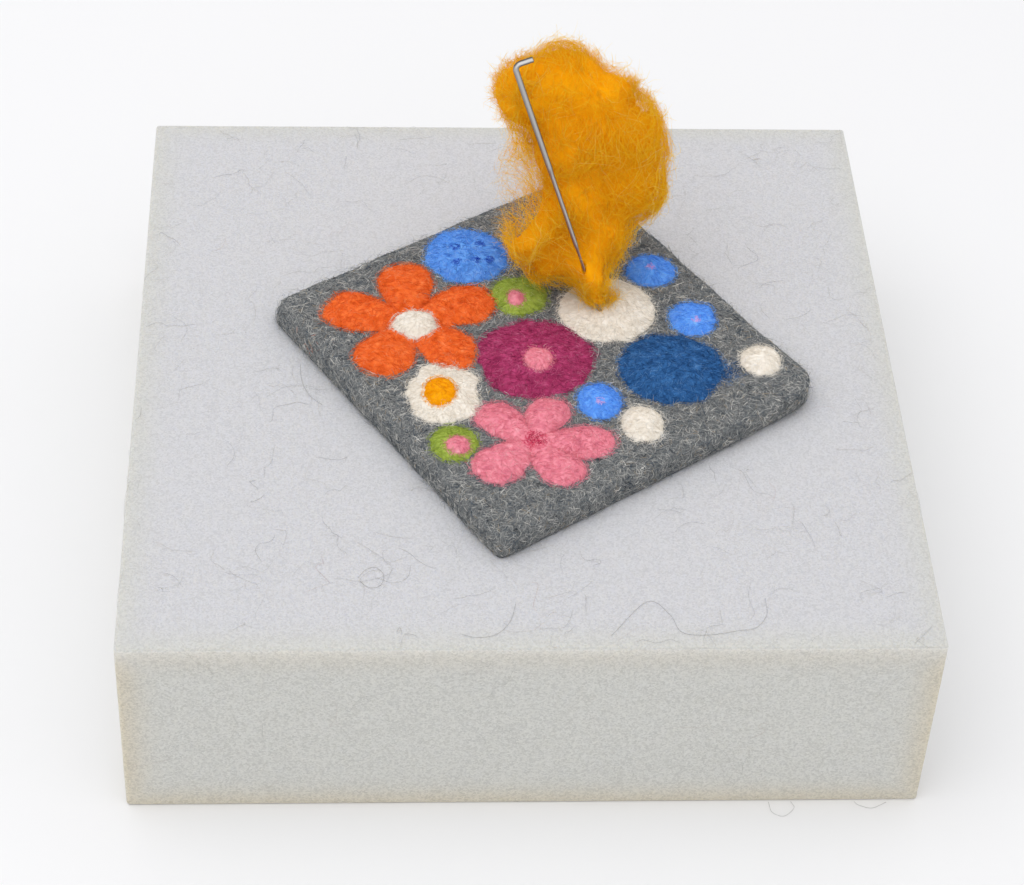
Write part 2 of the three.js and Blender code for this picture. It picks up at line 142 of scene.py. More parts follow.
class MotifSettings(bpy.types.PropertyGroup):
    """The wool needled into the square."""

    inset: length_setting("Inset", "How far the matted wool ends inside its rim of fibres", 0.2 * MM)
    height: number_setting("Height", "Height of the wool as a share of its solid's", 0.95, min=0.1, max=1.5)
    sink: length_setting("Sink", "How deep the wool is needled into the felt", 0.4 * MM)
    stray: number_setting("Stray", "How far inner fibres stray from their lie", 1.7, unit="ROTATION")
    lump: length_setting("Lumps", "Height of the wool's unevenness", 0.2 * MM)
    prick: length_setting("Prick depth", "Depth of a dimple left by the needle", 0.35 * MM)
    feather: length_setting("Feather", "How far the fringe of fibres lies beyond the matted wool", 0.7 * MM)
    fibre: length_setting("Fibre length", "Usual length of a surface fibre", 2.2 * MM)
    fibre_width: length_setting("Fibre width", "Drawn thicker than wool, so that it shows", 0.1 * MM)


class TuftSettings(bpy.types.PropertyGroup):
    """The loose wool."""

    strand: length_setting("Strand length", "Usual length of a strand", 13 * MM)
    strand_width: length_setting("Strand width", "Drawn thicker than wool, so that it shows", 0.075 * MM)
    curl: length_setting("Curl", "How far a strand wanders from a straight line", 5 * MM)
    depth: length_setting("Depth", "How deep the loose strands lie over the heart", 1.5 * MM)
    fold: length_setting("Folds", "Height of the folds in the heart", 0.45 * MM)
    fluff: length_setting("Fluff", "How far strands stand out of the tuft", 4 * MM)
    lean: length_setting("Lean", "How far the loose top leans aside", 2.3 * MM)
    root: number_setting("Root", "Width of the root as a share of its solid's", 0.45, min=0.3, max=1.0)


class NeedleSettings(bpy.types.PropertyGroup):
    """The felting needle, measured from its point up."""

    shank: length_setting("Shank", "Diameter of the shank", 1.5 * MM)
    middle: length_setting("Middle", "Diameter of the reduced middle", 1.15 * MM)
    blade: length_setting("Blade", "Diameter over the blade's edges", 0.75 * MM)
    blade_top: length_setting("Blade top", "Point to the top of the blade", 34 * MM)
    middle_top: length_setting("Middle top", "Point to the top of the middle", 57.6 * MM)
    top: length_setting("Top", "Point to the middle of the crank", 89 * MM)
    crank: length_setting("Crank", "Length of the cranked end", 5 * MM)
    bend: length_setting("Bend", "Radius of the crank's bend", 1.6 * MM)
    steel: colour_setting("Steel", "Drawn and polished steel wire", "#a9a8a6")


# Small helpers


def new_piece(name, vertices, faces):
    """A new smooth-shaded mesh object at the origin."""
    mesh = bpy.data.meshes.new(name)
    mesh.from_pydata(np.asarray(vertices).tolist(), [], [list(map(int, face)) for face in faces])
    mesh.shade_smooth()
    piece = bpy.data.objects.new(name, mesh)
    bpy.context.scene.collection.objects.link(piece)
    return piece


def places(mesh):
    """A mesh's vertices as an array."""
    found = np.zeros(len(mesh.vertices) * 3)
    mesh.vertices.foreach_get("co", found)
    return found.reshape(-1, 3)


def store(piece, name, values, kind="FLOAT", key="value"):
    """Keeps a value for each vertex of the piece."""
    layer = piece.data.attributes.new(name, kind, "POINT")
    layer.data.foreach_set(key, np.ascontiguousarray(values, np.float32).ravel())


def unevenness(points, size, seed=0):
    """A smooth random height, from about -1 to 1, at each point, with lumps of about the given size."""
    shift = Vector((17.3 * seed, 5.1 * seed, 9.7 * seed))
    return np.array([noise.noise(Vector(p) / size + shift) for p in points])


def settle(piece):
    """Turns what the piece's modifiers make into its own plain mesh."""
    graph = bpy.context.evaluated_depsgraph_get()
    shown = piece.evaluated_get(graph)
    made = bpy.data.meshes.new_from_object(shown, preserve_all_data_layers=True, depsgraph=graph)
    piece.modifiers.clear()
    piece.data = made


def remove(piece):
    """Takes a helper object and its mesh out of the scene."""
    mesh = piece.data
    bpy.data.objects.remove(piece)
    bpy.data.meshes.remove(mesh)


def cut_out(piece, tool):
    """Takes the form of a helper object out of a piece, and removes the helper."""
    cut = piece.modifiers.new("cut", "BOOLEAN")
    cut.object = tool
    cut.operation = "DIFFERENCE"
    cut.solver = "EXACT"
    settle(piece)
    remove(tool)


def even_skin(piece, size):
    """Gives a piece a new skin of even faces, once it is settled."""
    even = piece.modifiers.new("even", "REMESH")
    even.mode = "VOXEL"
    even.voxel_size = size
    even.use_smooth_shade = True


def even_turns(count):
    """Angles spread evenly over a full turn."""
    return 2 * np.pi * np.arange(count) / count


def headings(angles):
    """The directions in the plane at some angles."""
    return np.column_stack([np.cos(angles), np.sin(angles)])


def finish_piece(piece, body, slot, *nodes, fill=None):
    """Puts a finished piece on its body, in place of the solids that it stands for."""
    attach(piece, body)
    if nodes:
        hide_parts(*nodes)


def set_inputs(tree, node, inputs):
    """Links or sets a node's inputs, by name or number."""
    for key, value in inputs.items():
        if isinstance(value, bpy.types.NodeSocket):
            tree.links.new(value, node.inputs[key])
        else:
            node.inputs[key].default_value = value


def add_node(tree, kind, settings=None, inputs=None):
    """Adds a node with its settings and its inputs."""
    node = tree.nodes.new(kind)
    for name, value in (settings or {}).items():
        setattr(node, name, value)
    set_inputs(tree, node, inputs or {})
    return node


def maths(tree, operation, *values, clamp=False):
    """The result of an operation on numbers."""
    settings = {"operation": operation, "use_clamp": clamp}
    return add_node(tree, "ShaderNodeMath", settings, dict(enumerate(values))).outputs[0]


def vectors(tree, operation, first, second=None):
    """The result of an operation on vectors: a number for a dot product or a length, or else a vector."""
    inputs = {0: first}
    if second is not None:
        inputs["Scale" if operation == "SCALE" else 1] = second
    node = add_node(tree, "ShaderNodeVectorMath", {"operation": operation}, inputs)
    return node.outputs[1 if operation in ("DOT_PRODUCT", "LENGTH") else 0]


def map_range(tree, value, low, high, from_low=0.0, from_high=1.0):
    """A value carried over from one range to another, and kept inside it."""
    source = {"Value": value, "From Min": from_low, "From Max": from_high}
    return add_node(tree, "ShaderNodeMapRange", None, {**source, "To Min": low, "To Max": high}).outputs[0]


def mix_values(tree, share, first, second):
    """A blend of two numbers."""
    inputs = {0: share, 2: first, 3: second}
    return add_node(tree, "ShaderNodeMix", {"data_type": "FLOAT"}, inputs).outputs[0]


def mix_colours(tree, share, first, second, blend="MIX"):
    """A blend of two colours."""
    settings = {"data_type": "RGBA", "blend_type": blend}
    return add_node(tree, "ShaderNodeMix", settings, {0: share, 6: first, 7: second}).outputs[2]


def surface_value(tree, name):
    """A value stored on the mesh, for a shader."""
    return add_node(tree, "ShaderNodeAttribute", {"attribute_name": name}).outputs["Fac"]


def bump(tree, height, strength, distance):
    """Fine relief from a texture's height."""
    inputs = {"Strength": strength, "Distance": distance, "Height": height}
    return add_node(tree, "ShaderNodeBump", None, inputs).outputs["Normal"]


def new_material(name):
    """A material, its node tree and its Principled shader."""
    material = bpy.data.materials.new(name)
    material.use_nodes = True
    shader = next(n for n in material.node_tree.nodes if n.type == "BSDF_PRINCIPLED")
    return material, material.node_tree, shader


def colour_ramp(tree, value, stops, interpolation="LINEAR"):
    """The colour at a value on a ramp of (place, colour) stops."""
    node = add_node(tree, "ShaderNodeValToRGB", None, {"Fac": value})
    ramp = node.color_ramp
    ramp.interpolation = interpolation
    while len(ramp.elements) < len(stops):
        ramp.elements.new(1.0)
    for element, (place, colour) in zip(ramp.elements, stops):
        element.position = place
        element.color = colour
    return node.outputs["Color"]


# Materials


def foam_material(settings):
    """Polyether foam, sawn from a block: pale, matt, pitted, and warmer where light shines through."""
    material, tree, shader = new_material("sawn_polyether_foam")
    where = add_node(tree, "ShaderNodeTexCoord").outputs["Object"]
    upper = surface_value(tree, "upper")
    broad = mix_colours(tree, upper, settings.flank, settings.face)
    rim = colour_ramp(tree, upper, [(0.0, settings.flank_rim), (0.5, settings.crest), (1.0, settings.rim)])
    body = mix_colours(tree, surface_value(tree, "edge"), broad, rim)
    # Each cut cell is a speck a little lighter or darker than the next, fainter on the brightly lit top.
    cells = add_node(tree, "ShaderNodeTexVoronoi", None, {"Vector": where, "Scale": 1 / settings.cell})
    speck = add_node(tree, "ShaderNodeSeparateColor", None, {0: cells.outputs["Color"]}).outputs[0]
    greys = [(0.0, linear("#e4e4e4")), (0.55, linear("#f6f6f6")), (1.0, linear("#ffffff"))]
    shade = colour_ramp(tree, speck, greys)
    look = {
        "Base Color": mix_colours(tree, map_range(tree, upper, 1.0, 0.7), body, shade, "MULTIPLY"),
        "Normal": bump(tree, cells.outputs["Distance"], 0.4, 0.12 * MM),
        "Roughness": 0.95,
        "Specular IOR Level": 0.2,
        "Subsurface Weight": 0.3,
        "Subsurface Radius": (1.0, 0.85, 0.6),
        "Subsurface Scale": 3 * MM,
    }
    set_inputs(tree, shader, look)
    return material


# Wool tones from the shade between the fibres to the fibres that catch the light
WOOL_TONES = {
    "wool_orange": ("#c84408", "#f06c2c", "#fc8040", "#ffae78"),
    "wool_white": ("#dcd2c2", "#f3ebde", "#fbf5eb", "#ffffff"),
    "wool_pink": ("#c05a74", "#ee8c9e", "#f89eae", "#ffccd2"),
    "wool_deep_pink": ("#a01840", "#d82c60", "#e84872", "#f8869c"),
    "wool_berry": ("#601034", "#ac3866", "#c44e7e", "#e68cb0"),
    "wool_sky": ("#2c58b0", "#60a0f2", "#78b2fa", "#b4d8ff"),
    "wool_deep_blue": ("#1a3690", "#2850c4", "#3a68d8", "#6c98f0"),
    "wool_bright_blue": ("#3a72d4", "#62a4fa", "#74b2ff", "#a2d0ff"),
    "wool_lilac": ("#c090e0", "#e8b4f4", "#f4ccf8", "#ffe8ff"),
    "wool_green": ("#5e7424", "#9cb048", "#b0c458", "#d8e498"),
    "wool_navy": ("#122a4e", "#2e5c94", "#4076b2", "#7cacde"),
    "wool_yellow": ("#f09a04", "#fcab08", "#ffb414", "#ffc640"),
    # The loose strands and their halo are the tuft's yellow painted lighter than the heart's, as painted
    # light on the thin outer wool, the halo's the palest.
    "loose_yellow": ("#faae0a", "#ffbe12", "#ffcb1e", "#ffdc4c"),
    "halo_yellow": ("#ffc820", "#ffd338", "#ffde58", "#ffea88"),
}
# Charcoal, blue-grey, brown and pale fleece carded together, as shares of the fibres
HEATHER_TONES = [
    (0.0, "#30353c"),
    (0.14, "#59646f"),
    (0.28, "#84898b"),
    (0.44, "#aaabaa"),
    (0.64, "#c8c7c3"),
    (0.79, "#b8a78f"),
    (0.83, "#e6e3dd"),
    (0.92, "#fbf9f4"),
]


def wool_material(name, stops, interpolation="LINEAR"):
    """Carded wool: each fibre has its own tone and a soft sheen, and nothing shines."""
    material, tree, shader = new_material(name)
    colours = [(place, linear(hex_colour)) for place, hex_colour in stops]
    look = {
        "Base Color": colour_ramp(tree, surface_value(tree, "tone"), colours, interpolation),
        "Roughness": 0.9,
        "Specular IOR Level": 0.02,
        "Sheen Weight": 0.015,
        "Sheen Roughness": 0.5,
    }
    set_inputs(tree, shader, look)
    return material


def dyed_wool(dye):
    """The wool of one of the rows of tones, made once."""
    name = "dyed_" + dye
    if name not in bpy.data.materials:
        wool_material(name, zip((0.0, 0.35, 0.65, 1.0), WOOL_TONES[dye]))
    return bpy.data.materials[name]


def felt_body_material():
    """Felted fleece below the surface fibres: the same greys, matted together and in shade."""
    material, tree, shader = new_material("matted_heather_felt")
    where = add_node(tree, "ShaderNodeTexCoord").outputs["Object"]
    tangle = {"Vector": where, "Scale": 1 / (0.5 * MM), "Detail": 4, "Roughness": 0.7, "Distortion": 0.8}
    matted = add_node(tree, "ShaderNodeTexNoise", None, tangle).outputs["Fac"]
    stops = [(0.3, linear("#3c4044")), (0.5, linear("#6f7172")), (0.7, linear("#a0a19e"))]
    look = {
        "Base Color": colour_ramp(tree, matted, stops),
        "Normal": bump(tree, matted, 0.7, 0.3 * MM),
        "Roughness": 0.95,
        "Specular IOR Level": 0.1,
    }
    set_inputs(tree, shader, look)
    return material


def steel_material(settings):
    """Drawn steel wire, polished along its length, so that its shine is drawn out into fine lines."""
    material, tree, shader = new_material("drawn_steel_wire")
    around = add_node(tree, "ShaderNodeUVMap", {"uv_map": "wire"}).outputs["UV"]
    # The map runs once round and once along, so a draw line is long along and narrow round.
    stretch = {"Vector": around, "Scale": (24, 3, 1)}
    stretched = add_node(tree, "ShaderNodeMapping", None, stretch).outputs["Vector"]
    lines = add_node(tree, "ShaderNodeTexNoise", None, {"Vector": stretched, "Scale": 2, "Detail": 3})
    look = {
        "Base Color": settings.steel,
        "Roughness": map_range(tree, lines.outputs["Fac"], 0.22, 0.42),
        "Metallic": 1.0,
        "Specular Tint": linear("#262628"),
    }
    set_inputs(tree, shader, look)
    return material


def plain_material(name, colour, roughness):
    """One even colour, for the floor."""
    material, tree, shader = new_material(name)
    set_inputs(tree, shader, {"Base Color": colour, "Roughness": roughness, "Specular IOR Level": 0.2})
    return material


# Fibres


def tree_inputs(tree, **sockets):
    """Declares a geometry tree's inputs, as names by kind, and its output, and adds their nodes."""
    for kind, names in sockets.items():
        for name in names:
            tree.interface.new_socket(name=name, in_out="INPUT", socket_type="NodeSocket" + kind)
    tree.interface.new_socket(name="Geometry", in_out="OUTPUT", socket_type="NodeSocketGeometry")
    return add_node(tree, "NodeGroupInput").outputs, add_node(tree, "NodeGroupOutput")


def grown(piece, tree, values):
    """Runs a geometry tree on the piece with the named inputs, and keeps the result as its mesh."""
    modifier = piece.modifiers.new(tree.name, "NODES")
    modifier.node_group = tree
    for item in tree.interface.items_tree:
        if item.in_out == "INPUT" and item.name in values:
            modifier[item.identifier] = values[item.name]
    settle(piece)
    return piece


def stored(tree, name, kind="FLOAT"):
    """A value stored on the geometry, for a geometry tree."""
    return add_node(tree, "GeometryNodeInputNamedAttribute", {"data_type": kind}, {"Name": name}).outputs[0]


def random_value(tree, low, high, seed):
    """A random number for each element."""
    inputs = {2: low, 3: high, 8: seed}
    return add_node(tree, "FunctionNodeRandomValue", {"data_type": "FLOAT"}, inputs).outputs[1]


def position(tree):
    """Where each point is."""
    return add_node(tree, "GeometryNodeInputPosition").outputs[0]


def share_along(tree):
    """How far along its own curve each point is, from 0 to 1."""
    return add_node(tree, "GeometryNodeSplineParameter").outputs["Factor"]


def moved(tree, points, key, value):
    """Points moved to a Position or by an Offset."""
    return add_node(tree, "GeometryNodeSetPosition", None, {0: points, key: value}).outputs[0]


def real_skin(tree, skin):
    """A smooth-shaded skin with its instances made real."""
    smooth = add_node(tree, "GeometryNodeSetShadeSmooth", None, {0: skin, "Shade Smooth": True}).outputs[0]
    return add_node(tree, "GeometryNodeRealizeInstances", None, {0: smooth}).outputs[0]


def sow(tree, given, density_name):
    """Sows points over the given geometry, as densely as its cover says."""
    dense = maths(tree, "MULTIPLY", given[density_name], 1 / MM**2)
    density = maths(tree, "MULTIPLY", dense, stored(tree, "cover"))
    ground = {"Mesh": given["Geometry"], "Density": density, "Seed": given["Seed"]}
    return add_node(tree, "GeometryNodeDistributePointsOnFaces", {"distribute_method": "RANDOM"}, ground)


def wire_of(tree, curve, width, material):
    """Ends a fibre tree: each curve becomes a closed, tapered, three-sided fibre with its material."""
    along = share_along(tree)
    swell = maths(tree, "MULTIPLY", along, maths(tree, "SUBTRACT", 1.0, along))
    taper = maths(tree, "MULTIPLY_ADD", swell, 4.5, 0.3, clamp=True)
    # A fibre's tone also settles how stout it is, and fibres are finer where they lie thinly.
    lot = maths(tree, "PINGPONG", stored(tree, "tone"), 0.031)
    stout = maths(tree, "MULTIPLY_ADD", lot, 25.0, 0.6)
    fine = map_range(tree, stored(tree, "cover"), 0.4, 1.0, from_high=0.6)
    thick = maths(tree, "MULTIPLY", taper, maths(tree, "MULTIPLY", stout, fine))
    radius = maths(tree, "MULTIPLY", width, 0.5)
    section = add_node(tree, "GeometryNodeCurvePrimitiveCircle", None, {"Resolution": 3, "Radius": radius})
    shape = {"Curve": curve, "Profile Curve": section.outputs[0], "Scale": thick, "Fill Caps": True}
    skin = real_skin(tree, add_node(tree, "GeometryNodeCurveToMesh", None, shape).outputs[0])
    return add_node(tree, "GeometryNodeSetMaterial", None, {0: skin, "Material": material}).outputs[0]


def toned_lines(tree, points, turn, length, steps, seed):
    """Straight lines laid on points at their turns, each with its own random tone."""
    ends = {"Start": (-0.5, 0, 0), "End": (0.5, 0, 0)}
    line = add_node(tree, "GeometryNodeCurvePrimitiveLine", None, ends).outputs[0]
    stepped = add_node(tree, "GeometryNodeResampleCurve", {"mode": "COUNT"}, {0: line, "Count": steps})
    scale = maths(tree, "MULTIPLY", random_value(tree, 0.6, 1.4, seed), length)
    laying = {"Points": points, "Instance": stepped.outputs[0], "Rotation": turn, "Scale": scale}
    laid = add_node(tree, "GeometryNodeInstanceOnPoints", None, laying).outputs[0]
    real = add_node(tree, "GeometryNodeRealizeInstances", None, {0: laid}).outputs[0]
    # Carding leaves patches a few mm wide that are darker or lighter than the rest.
    spots = {"Vector": position(tree), "Scale": 1 / (2.5 * MM), "Detail": 1.0}
    patch = add_node(tree, "ShaderNodeTexNoise", None, spots).outputs[0]
    near = map_range(tree, patch, 0.0, 0.35, 0.3, 0.7)
    tone = maths(tree, "ADD", random_value(tree, 0.0, 0.65, seed), near)
    settings = {"data_type": "FLOAT", "domain": "CURVE"}
    inputs = {0: real, "Name": "tone", "Value": tone}
    return add_node(tree, "GeometryNodeStoreNamedAttribute", settings, inputs).outputs[0]


def wander(tree, curve, size, reach, tone):
    """Bends curves by a noise of the given size and reach, which differs from one curve to the next."""
    scale = maths(tree, "DIVIDE", 1.0, size)
    own = maths(tree, "MULTIPLY", tone, 40.0)
    inputs = {"Vector": position(tree), "W": own, "Scale": scale, "Detail": 1.0}
    waves = add_node(tree, "ShaderNodeTexNoise", {"noise_dimensions": "4D"}, inputs).outputs["Color"]
    centred = vectors(tree, "SUBTRACT", waves, (0.5, 0.5, 0.5))
    offset = vectors(tree, "SCALE", centred, maths(tree, "MULTIPLY", reach, 3.0))
    return moved(tree, curve, "Offset", offset)


def nearest_on(tree, surface):
    """Each point, the point of a surface nearest to it, and the surface's direction there."""
    here = position(tree)
    sample = {0: surface, "Sample Position": here}
    near = add_node(tree, "GeometryNodeProximity", {"target_element": "FACES"}, sample).outputs[0]
    sample[1] = add_node(tree, "GeometryNodeInputNormal").outputs[0]
    settings = {"data_type": "FLOAT_VECTOR"}
    out = add_node(tree, "GeometryNodeSampleNearestSurface", settings, sample).outputs[0]
    return here, near, out


def fibre_coat_tree():
    """Fibres that lie on a surface, dip into it at their ends, and here and there stand free, made once."""
    name = "fibre_coat"
    if name in bpy.data.node_groups:
        return bpy.data.node_groups[name]
    tree = bpy.data.node_groups.new(name, "GeometryNodeTree")
    sizes = ["Fibres per square mm", "Fibre Length", "Fibre Width", "Bend Size", "Bend", "Lift", "Dip"]
    given, result = tree_inputs(
        tree,
        Geometry=["Geometry"],
        Object=["Relief"],
        Float=sizes + ["Loose Share", "Loose Height"],
        Int=["Steps", "Seed"],
        Bool=["Keep Surface"],
        Material=["Wool"],
    )
    seed = given["Seed"]
    sown = sow(tree, given, "Fibres per square mm")
    combing = {"Rotation": sown.outputs["Rotation"], "Vector": stored(tree, "lay", "FLOAT_VECTOR")}
    combed = add_node(tree, "FunctionNodeAlignRotationToVector", {"axis": "X", "pivot_axis": "Z"}, combing)
    stray = maths(tree, "MULTIPLY", stored(tree, "stray"), random_value(tree, -1.0, 1.0, seed))
    spin = add_node(tree, "ShaderNodeCombineXYZ", None, {"Z": stray}).outputs[0]
    turned = add_node(tree, "FunctionNodeEulerToRotation", None, {0: spin}).outputs[0]
    turns = {0: combed.outputs[0], 1: turned}
    turn = add_node(tree, "FunctionNodeRotateRotation", {"rotation_space": "LOCAL"}, turns).outputs[0]
    lines = toned_lines(tree, sown.outputs[0], turn, given["Fibre Length"], given["Steps"], seed)
    tone = stored(tree, "tone")
    bent = wander(tree, lines, given["Bend Size"], given["Bend"], tone)
    relief = add_node(tree, "GeometryNodeObjectInfo", None, {"Object": given["Relief"]}).outputs["Geometry"]
    near, out = nearest_on(tree, relief)[1:]
    # A fibre arches over the relief, and a loose one also stands up towards its end.
    along = share_along(tree)
    arch = maths(tree, "SINE", maths(tree, "MULTIPLY", along, math.pi))
    rise = maths(tree, "ADD", given["Lift"], given["Dip"])
    draped = maths(tree, "MULTIPLY_ADD", arch, rise, maths(tree, "MULTIPLY", given["Dip"], -1.0))
    lot = maths(tree, "FRACT", maths(tree, "MULTIPLY", tone, 37.0))
    loose = maths(tree, "LESS_THAN", lot, given["Loose Share"])
    stand = maths(tree, "MULTIPLY", maths(tree, "POWER", along, 2.0), given["Loose Height"])
    height = maths(tree, "MULTIPLY_ADD", loose, stand, draped)
    laid = vectors(tree, "ADD", near, vectors(tree, "SCALE", out, height))
    rested = moved(tree, bent, "Position", laid)
    fibres = wire_of(tree, rested, given["Fibre Width"], given["Wool"])
    choice = {0: given["Keep Surface"], 2: given["Geometry"]}
    kept = add_node(tree, "GeometryNodeSwitch", {"input_type": "GEOMETRY"}, choice).outputs[0]
    joined = add_node(tree, "GeometryNodeJoinGeometry")
    for part in (fibres, kept):
        tree.links.new(part, joined.inputs[0])
    tree.links.new(joined.outputs[0], result.inputs[0])
    return tree


def loose_wool_tree():
    """Strands that cover a form from its root, curl, stand a little out of it, and part at the needle."""
    tree = bpy.data.node_groups.new("loose_wool", "GeometryNodeTree")
    given, result = tree_inputs(
        tree,
        Geometry=["Geometry"],
        Float=["Strands per square mm", "Depth", "Strand Length", "Strand Width", "Curl", "Fluff", "Floor"],
        Int=["Steps", "Seed"],
        Vector=["Root", "Needle Point", "Needle Axis", "Crank Side"],
        Material=["Wool"],
    )
    seed = given["Seed"]
    sown = sow(tree, given, "Strands per square mm")
    inward = vectors(tree, "SCALE", sown.outputs["Normal"], random_value(tree, given["Depth"], 0.0, seed))
    seeds = moved(tree, sown.outputs[0], "Offset", inward)
    up = vectors(tree, "NORMALIZE", vectors(tree, "SUBTRACT", position(tree), given["Root"]))
    spread = {0: (-1.3, -1.3, -1.3), 1: (1.3, 1.3, 1.3), 8: seed}
    chance = add_node(tree, "FunctionNodeRandomValue", {"data_type": "FLOAT_VECTOR"}, spread).outputs[0]
    aim = vectors(tree, "ADD", up, chance)
    turn = add_node(tree, "FunctionNodeAlignRotationToVector", {"axis": "X"}, {"Vector": aim}).outputs[0]
    lines = toned_lines(tree, seeds, turn, given["Strand Length"], given["Steps"], seed)
    tone = stored(tree, "tone")
    swept = wander(tree, lines, 16 * MM, given["Curl"], 0.02)
    curled = wander(tree, swept, 5 * MM, maths(tree, "MULTIPLY", given["Curl"], 0.3), tone)
    # A strand that leaves the form is drawn back to it, but for its own share of fluff.
    here, near, out = nearest_on(tree, given["Geometry"])
    height = vectors(tree, "DOT_PRODUCT", vectors(tree, "SUBTRACT", here, near), out)
    room = maths(tree, "MULTIPLY", maths(tree, "POWER", tone, 2.0), given["Fluff"])
    excess = maths(tree, "MAXIMUM", maths(tree, "SUBTRACT", height, room), 0.0)
    drawn = vectors(tree, "SCALE", out, maths(tree, "MULTIPLY", excess, -0.85))
    parted = part_round_needle(tree, moved(tree, curled, "Offset", drawn), given)
    # Nothing sinks into the felt below.
    split = add_node(tree, "ShaderNodeSeparateXYZ", None, {0: position(tree)}).outputs
    low = maths(tree, "MAXIMUM", split[2], given["Floor"])
    raised = add_node(tree, "ShaderNodeCombineXYZ", None, {0: split[0], 1: split[1], 2: low}).outputs[0]
    rested = moved(tree, parted, "Position", raised)
    tree.links.new(wire_of(tree, rested, given["Strand Width"], given["Wool"]), result.inputs[0])
    return tree


def wool_heart_tree():
    """The dense inside of a form, a given depth below its skin."""
    tree = bpy.data.node_groups.new("wool_heart", "GeometryNodeTree")
    given, result = tree_inputs(tree, Geometry=["Geometry"], Float=["Depth"])
    filling = {
        "Mesh": given["Geometry"],
        "Density": 1.0,
        "Voxel Size": 1.0 * MM,
        "Interior Band Width": maths(tree, "MULTIPLY", given["Depth"], 2.0),
    }
    volume = add_node(tree, "GeometryNodeMeshToVolume", {"resolution_mode": "VOXEL_SIZE"}, filling)
    level = {"Volume": volume.outputs[0], "Threshold": 0.5}
    skin = add_node(tree, "GeometryNodeVolumeToMesh", {"resolution_mode": "GRID"}, level).outputs[0]
    tree.links.new(real_skin(tree, skin), result.inputs[0])
    return tree


# Where the tuft is teased out so thin that what is behind it shows: the place and half width in mm, and
# the share of the strands that is gone
THIN_SPOTS = (
    ((-2, 24.5, 88.5), 10, 0.9),
    ((-3, 25, 104), 9, 0.9),
    ((26, 34.3, 118.6), 2.2, 0.4),
    ((26.5, 39, 115.1), 2.6, 0.4),
    ((27, 43.6, 111.7), 3.0, 0.4),
    ((31, 34.3, 117), 2.4, 0.4),
    ((31.5, 38.5, 113.8), 2.4, 0.4),
    ((32.1, 42.7, 110.6), 2.8, 0.4),
)
# Where the wool is thinly spread on the disc
THIN_SMEAR = ((23, 13, 66), 5, 0.65)
# A veil of wool beside the tuft, fuller places in it and a smear at its root: middles and half sizes in mm
VEILS = (((-1, 25, 101), (5, 4.5, 12)),)
FULL_PLACES = (
    ((21, 33, 119.5), (6.5, 5, 6)),
    ((33.5, 34, 102), (6, 6, 7)),
    ((22.6, 14, 67.7), (5, 4.8, 1.7)),
    ((8, 20, 73.8), (5.5, 4.5, 5)),
    ((24.5, 38.5, 120.5), (6, 4.5, 4)),
)


def blob(place, radii):
    """A closed ellipsoid, as vertices and faces, from a middle and half sizes in mm."""
    points, faces = box_skin([np.tan(np.linspace(-1, 1, 11) * math.pi / 4)] * 3)
    points /= np.linalg.norm(points, axis=1, keepdims=True)
    return (points * radii + place) * MM, faces


# Where no strand may lie before the needle, in mm: above a height over its point, the middle and half width
# across, and how far back. The first row is for the shank, the second for the sweep of the crank.
NEEDLE_ROOM = ((24, 0, 1.14, 1.0), (78, 2.5, 4, 1.6))


def part_round_needle(tree, curve, given):
    """Pushes strands out of the needle's way, and drops those in front of it or in its crank's sweep."""
    axis = given["Needle Axis"]
    crank = given["Crank Side"]
    apart = vectors(tree, "SUBTRACT", position(tree), given["Needle Point"])
    up = vectors(tree, "DOT_PRODUCT", apart, axis)
    side = vectors(tree, "SUBTRACT", apart, vectors(tree, "SCALE", axis, up))
    # The strands close in on the thin blade and give the thicker shank more room, through its whole travel.
    clear = map_range(tree, up, 0.6 * MM, 1.15 * MM, 17 * MM, 27 * MM)
    short = maths(tree, "SUBTRACT", clear, vectors(tree, "LENGTH", side))
    push = maths(tree, "MAXIMUM", short, 0.0)
    parted = moved(tree, curve, "Offset", vectors(tree, "SCALE", vectors(tree, "NORMALIZE", side), push))
    across = vectors(tree, "DOT_PRODUCT", apart, crank)
    back = vectors(tree, "DOT_PRODUCT", apart, vectors(tree, "CROSS_PRODUCT", axis, crank))
    touched = []
    for height, middle, half, reach in NEEDLE_ROOM:
        above = maths(tree, "GREATER_THAN", up, height * MM)
        beside = maths(tree, "COMPARE", across, middle * MM, half * MM)
        before = maths(tree, "LESS_THAN", back, reach * MM)
        touched.append(maths(tree, "MULTIPLY", maths(tree, "MULTIPLY", above, beside), before))
    # A strand is dropped whole, where any of its points is in the way.
    settings = {"data_type": "FLOAT", "domain": "CURVE"}
    strand = add_node(tree, "GeometryNodeFieldOnDomain", settings, {0: maths(tree, "MAXIMUM", *touched)})
    inputs = {0: parted, "Selection": maths(tree, "GREATER_THAN", strand.outputs[0], 0.001)}
    return add_node(tree, "GeometryNodeDeleteGeometry", {"domain": "CURVE"}, inputs).outputs[0]


# Forms


def grid_lines(low, high, spacing, radius):
    """Mesh lines across a box: close together in its rounded edges and even between them."""
    count = max(2, round((high - low - 2 * radius) / spacing) + 1)
    between = np.linspace(low + radius, high - radius, count)
    return np.concatenate([[low, low + radius / 3], between, [high - radius / 3, high]])


def box_skin(lines):
    """Vertices and outward faces of a closed skin over a box, from the mesh lines along each axis."""
    number = {}
    vertices = []
    faces = []

    def vertex(place):
        if place not in number:
            number[place] = len(vertices)
            vertices.append([lines[axis][place[axis]] for axis in range(3)])
        return number[place]

    for axis in range(3):
        across = (axis + 1) % 3
        along = (axis + 2) % 3
        for side in (0, len(lines[axis]) - 1):
            for i in range(len(lines[across]) - 1):
                for j in range(len(lines[along]) - 1):
                    ring = []
                    for di, dj in ((0, 0), (1, 0), (1, 1), (0, 1)):
                        place = {axis: side, across: i + di, along: j + dj}
                        ring.append(vertex((place[0], place[1], place[2])))
                    faces.append(ring if side else ring[::-1])
    return np.array(vertices), faces


